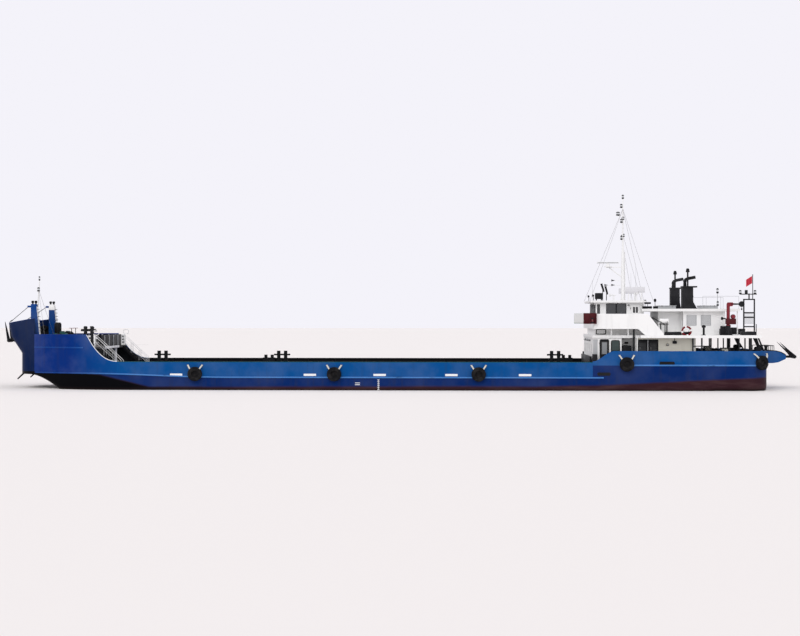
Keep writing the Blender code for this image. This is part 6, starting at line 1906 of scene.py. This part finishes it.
def make_cargo_deck():
    """Lashing eyes, scuppers and a low coaming round the cargo deck."""
    deck = Piece("cargo_deck_fittings")
    for _, side in SIDES:
        for x in steps(-14.5, 21.0, 14):
            y = side * 5.95
            z = deck_height(x)
            deck.add("steel", tube([(x + 0.09 * cos(a), y, z + 0.02 + 0.10 * sin(a)) for a in steps(0, pi, 8)], 0.02, sides=6))
        deck.add("bulwark_inside", box((-16.4, 13.9), (side * 5.86, side * 5.90), (MAIN_DECK + 0.003, MAIN_DECK + 0.12)))
        for x in steps(-12.0, 12.0, 6):
            deck.add("black", prism(rounded((x - 0.3, x + 0.3), (2.80, 3.0), 0.09, 4), "y",
                                    sorted((side * 6.36, side * 6.376))))
    for y in (-2.0, 2.0):
        vent(deck, (-16.3, y, MAIN_DECK), 0.7, 0.14)
    for x, y in ((22.0, 2.2), (22.0, -2.2), (-15.6, 3.6), (-15.6, -3.6)):
        hatch(deck, (x, y, deck_height(x)), 0.8, 0.8, 0.30, "black")
    deck.make()


make_hull()
make_sides()
make_front()
make_beltings()
make_bow_posts()
make_light_mast()
make_windlass()
make_anchors()
make_stairs()
make_forecastle()
make_poop()
make_deckhouse()
make_bridge()
make_wheelhouse()
make_roof_gear()
make_casing()
make_boat_deck_gear()
make_poop_gear()
make_masts()
make_davit()
make_tower()
make_marks()
make_propulsion()
make_cargo_deck()
flag = make_flag()


# The stage, light and camera

def make_stage():
    """A pale floor at the waterline, out past the camera's view."""
    reach = 400.0
    shape = bmesh.new()
    level = WATERLINE * SCALE
    corners = [shape.verts.new((x, y, level)) for x, y in ((-reach, -reach), (reach, -reach),
                                                            (reach, reach), (-reach, reach))]
    shape.faces.new(corners)
    mesh = bpy.data.meshes.new("floor")
    shape.to_mesh(mesh)
    shape.free()
    floor = bpy.data.objects.new("floor", mesh)
    bpy.context.scene.collection.objects.link(floor)
    paper = Finish("floor_paper", (0.80, 0.77, 0.74), 0.8, specular=0.05)
    paper.relief(paper.noise(6.0, 3), 0.01)
    paper.done()
    mesh.materials.append(FINISHES["floor_paper"])


def make_light():
    world = bpy.data.worlds.new("studio")
    world.use_nodes = True
    background = world.node_tree.nodes["Background"]
    background.inputs["Color"].default_value = (0.905, 0.895, 0.955, 1)
    background.inputs["Strength"].default_value = 1.0
    bpy.context.scene.world = world
    bpy.context.scene.view_settings.view_transform = "Standard"
    # A broad key from the bow's side and a low fill from the camera's: name, direction, strength, spread
    for name, direction, energy, spread in (("soft_key", (0.3, 0.75, 0.75), 0.9, 35),
                                            ("soft_fill", (-0.1, 1.0, 0.15), 0.5, 60)):
        sun = bpy.data.lights.new(name, "SUN")
        sun.energy = energy
        sun.angle = radians(spread)
        sun.color = (1.0, 0.985, 0.96)
        lamp = bpy.data.objects.new(name, sun)
        lamp.rotation_euler = Vector(direction).to_track_quat("Z", "Y").to_euler()
        bpy.context.scene.collection.objects.link(lamp)


# Measured in the photograph's frame of 800 by 636 pixels
IMAGE_WIDTH = 800
FOCAL_PIXELS = 1572
CAMERA_PLACE = (-6.5, 137.4, 7.64)
CAMERA_AIM = (-0.6, 6.5, 7.64)
SENSOR_WIDTH = 36.0


def make_camera():
    lens = bpy.data.cameras.new("camera")
    lens.sensor_width = SENSOR_WIDTH
    lens.lens = FOCAL_PIXELS / IMAGE_WIDTH * SENSOR_WIDTH
    lens.clip_end = 2000
    camera = bpy.data.objects.new("camera", lens)
    camera.location = Vector(CAMERA_PLACE) * SCALE
    aim = Vector(CAMERA_AIM) - Vector(CAMERA_PLACE)
    camera.rotation_euler = aim.to_track_quat("-Z", "Y").to_euler()
    bpy.context.scene.collection.objects.link(camera)
    bpy.context.scene.camera = camera


make_stage()
make_light()
make_camera()
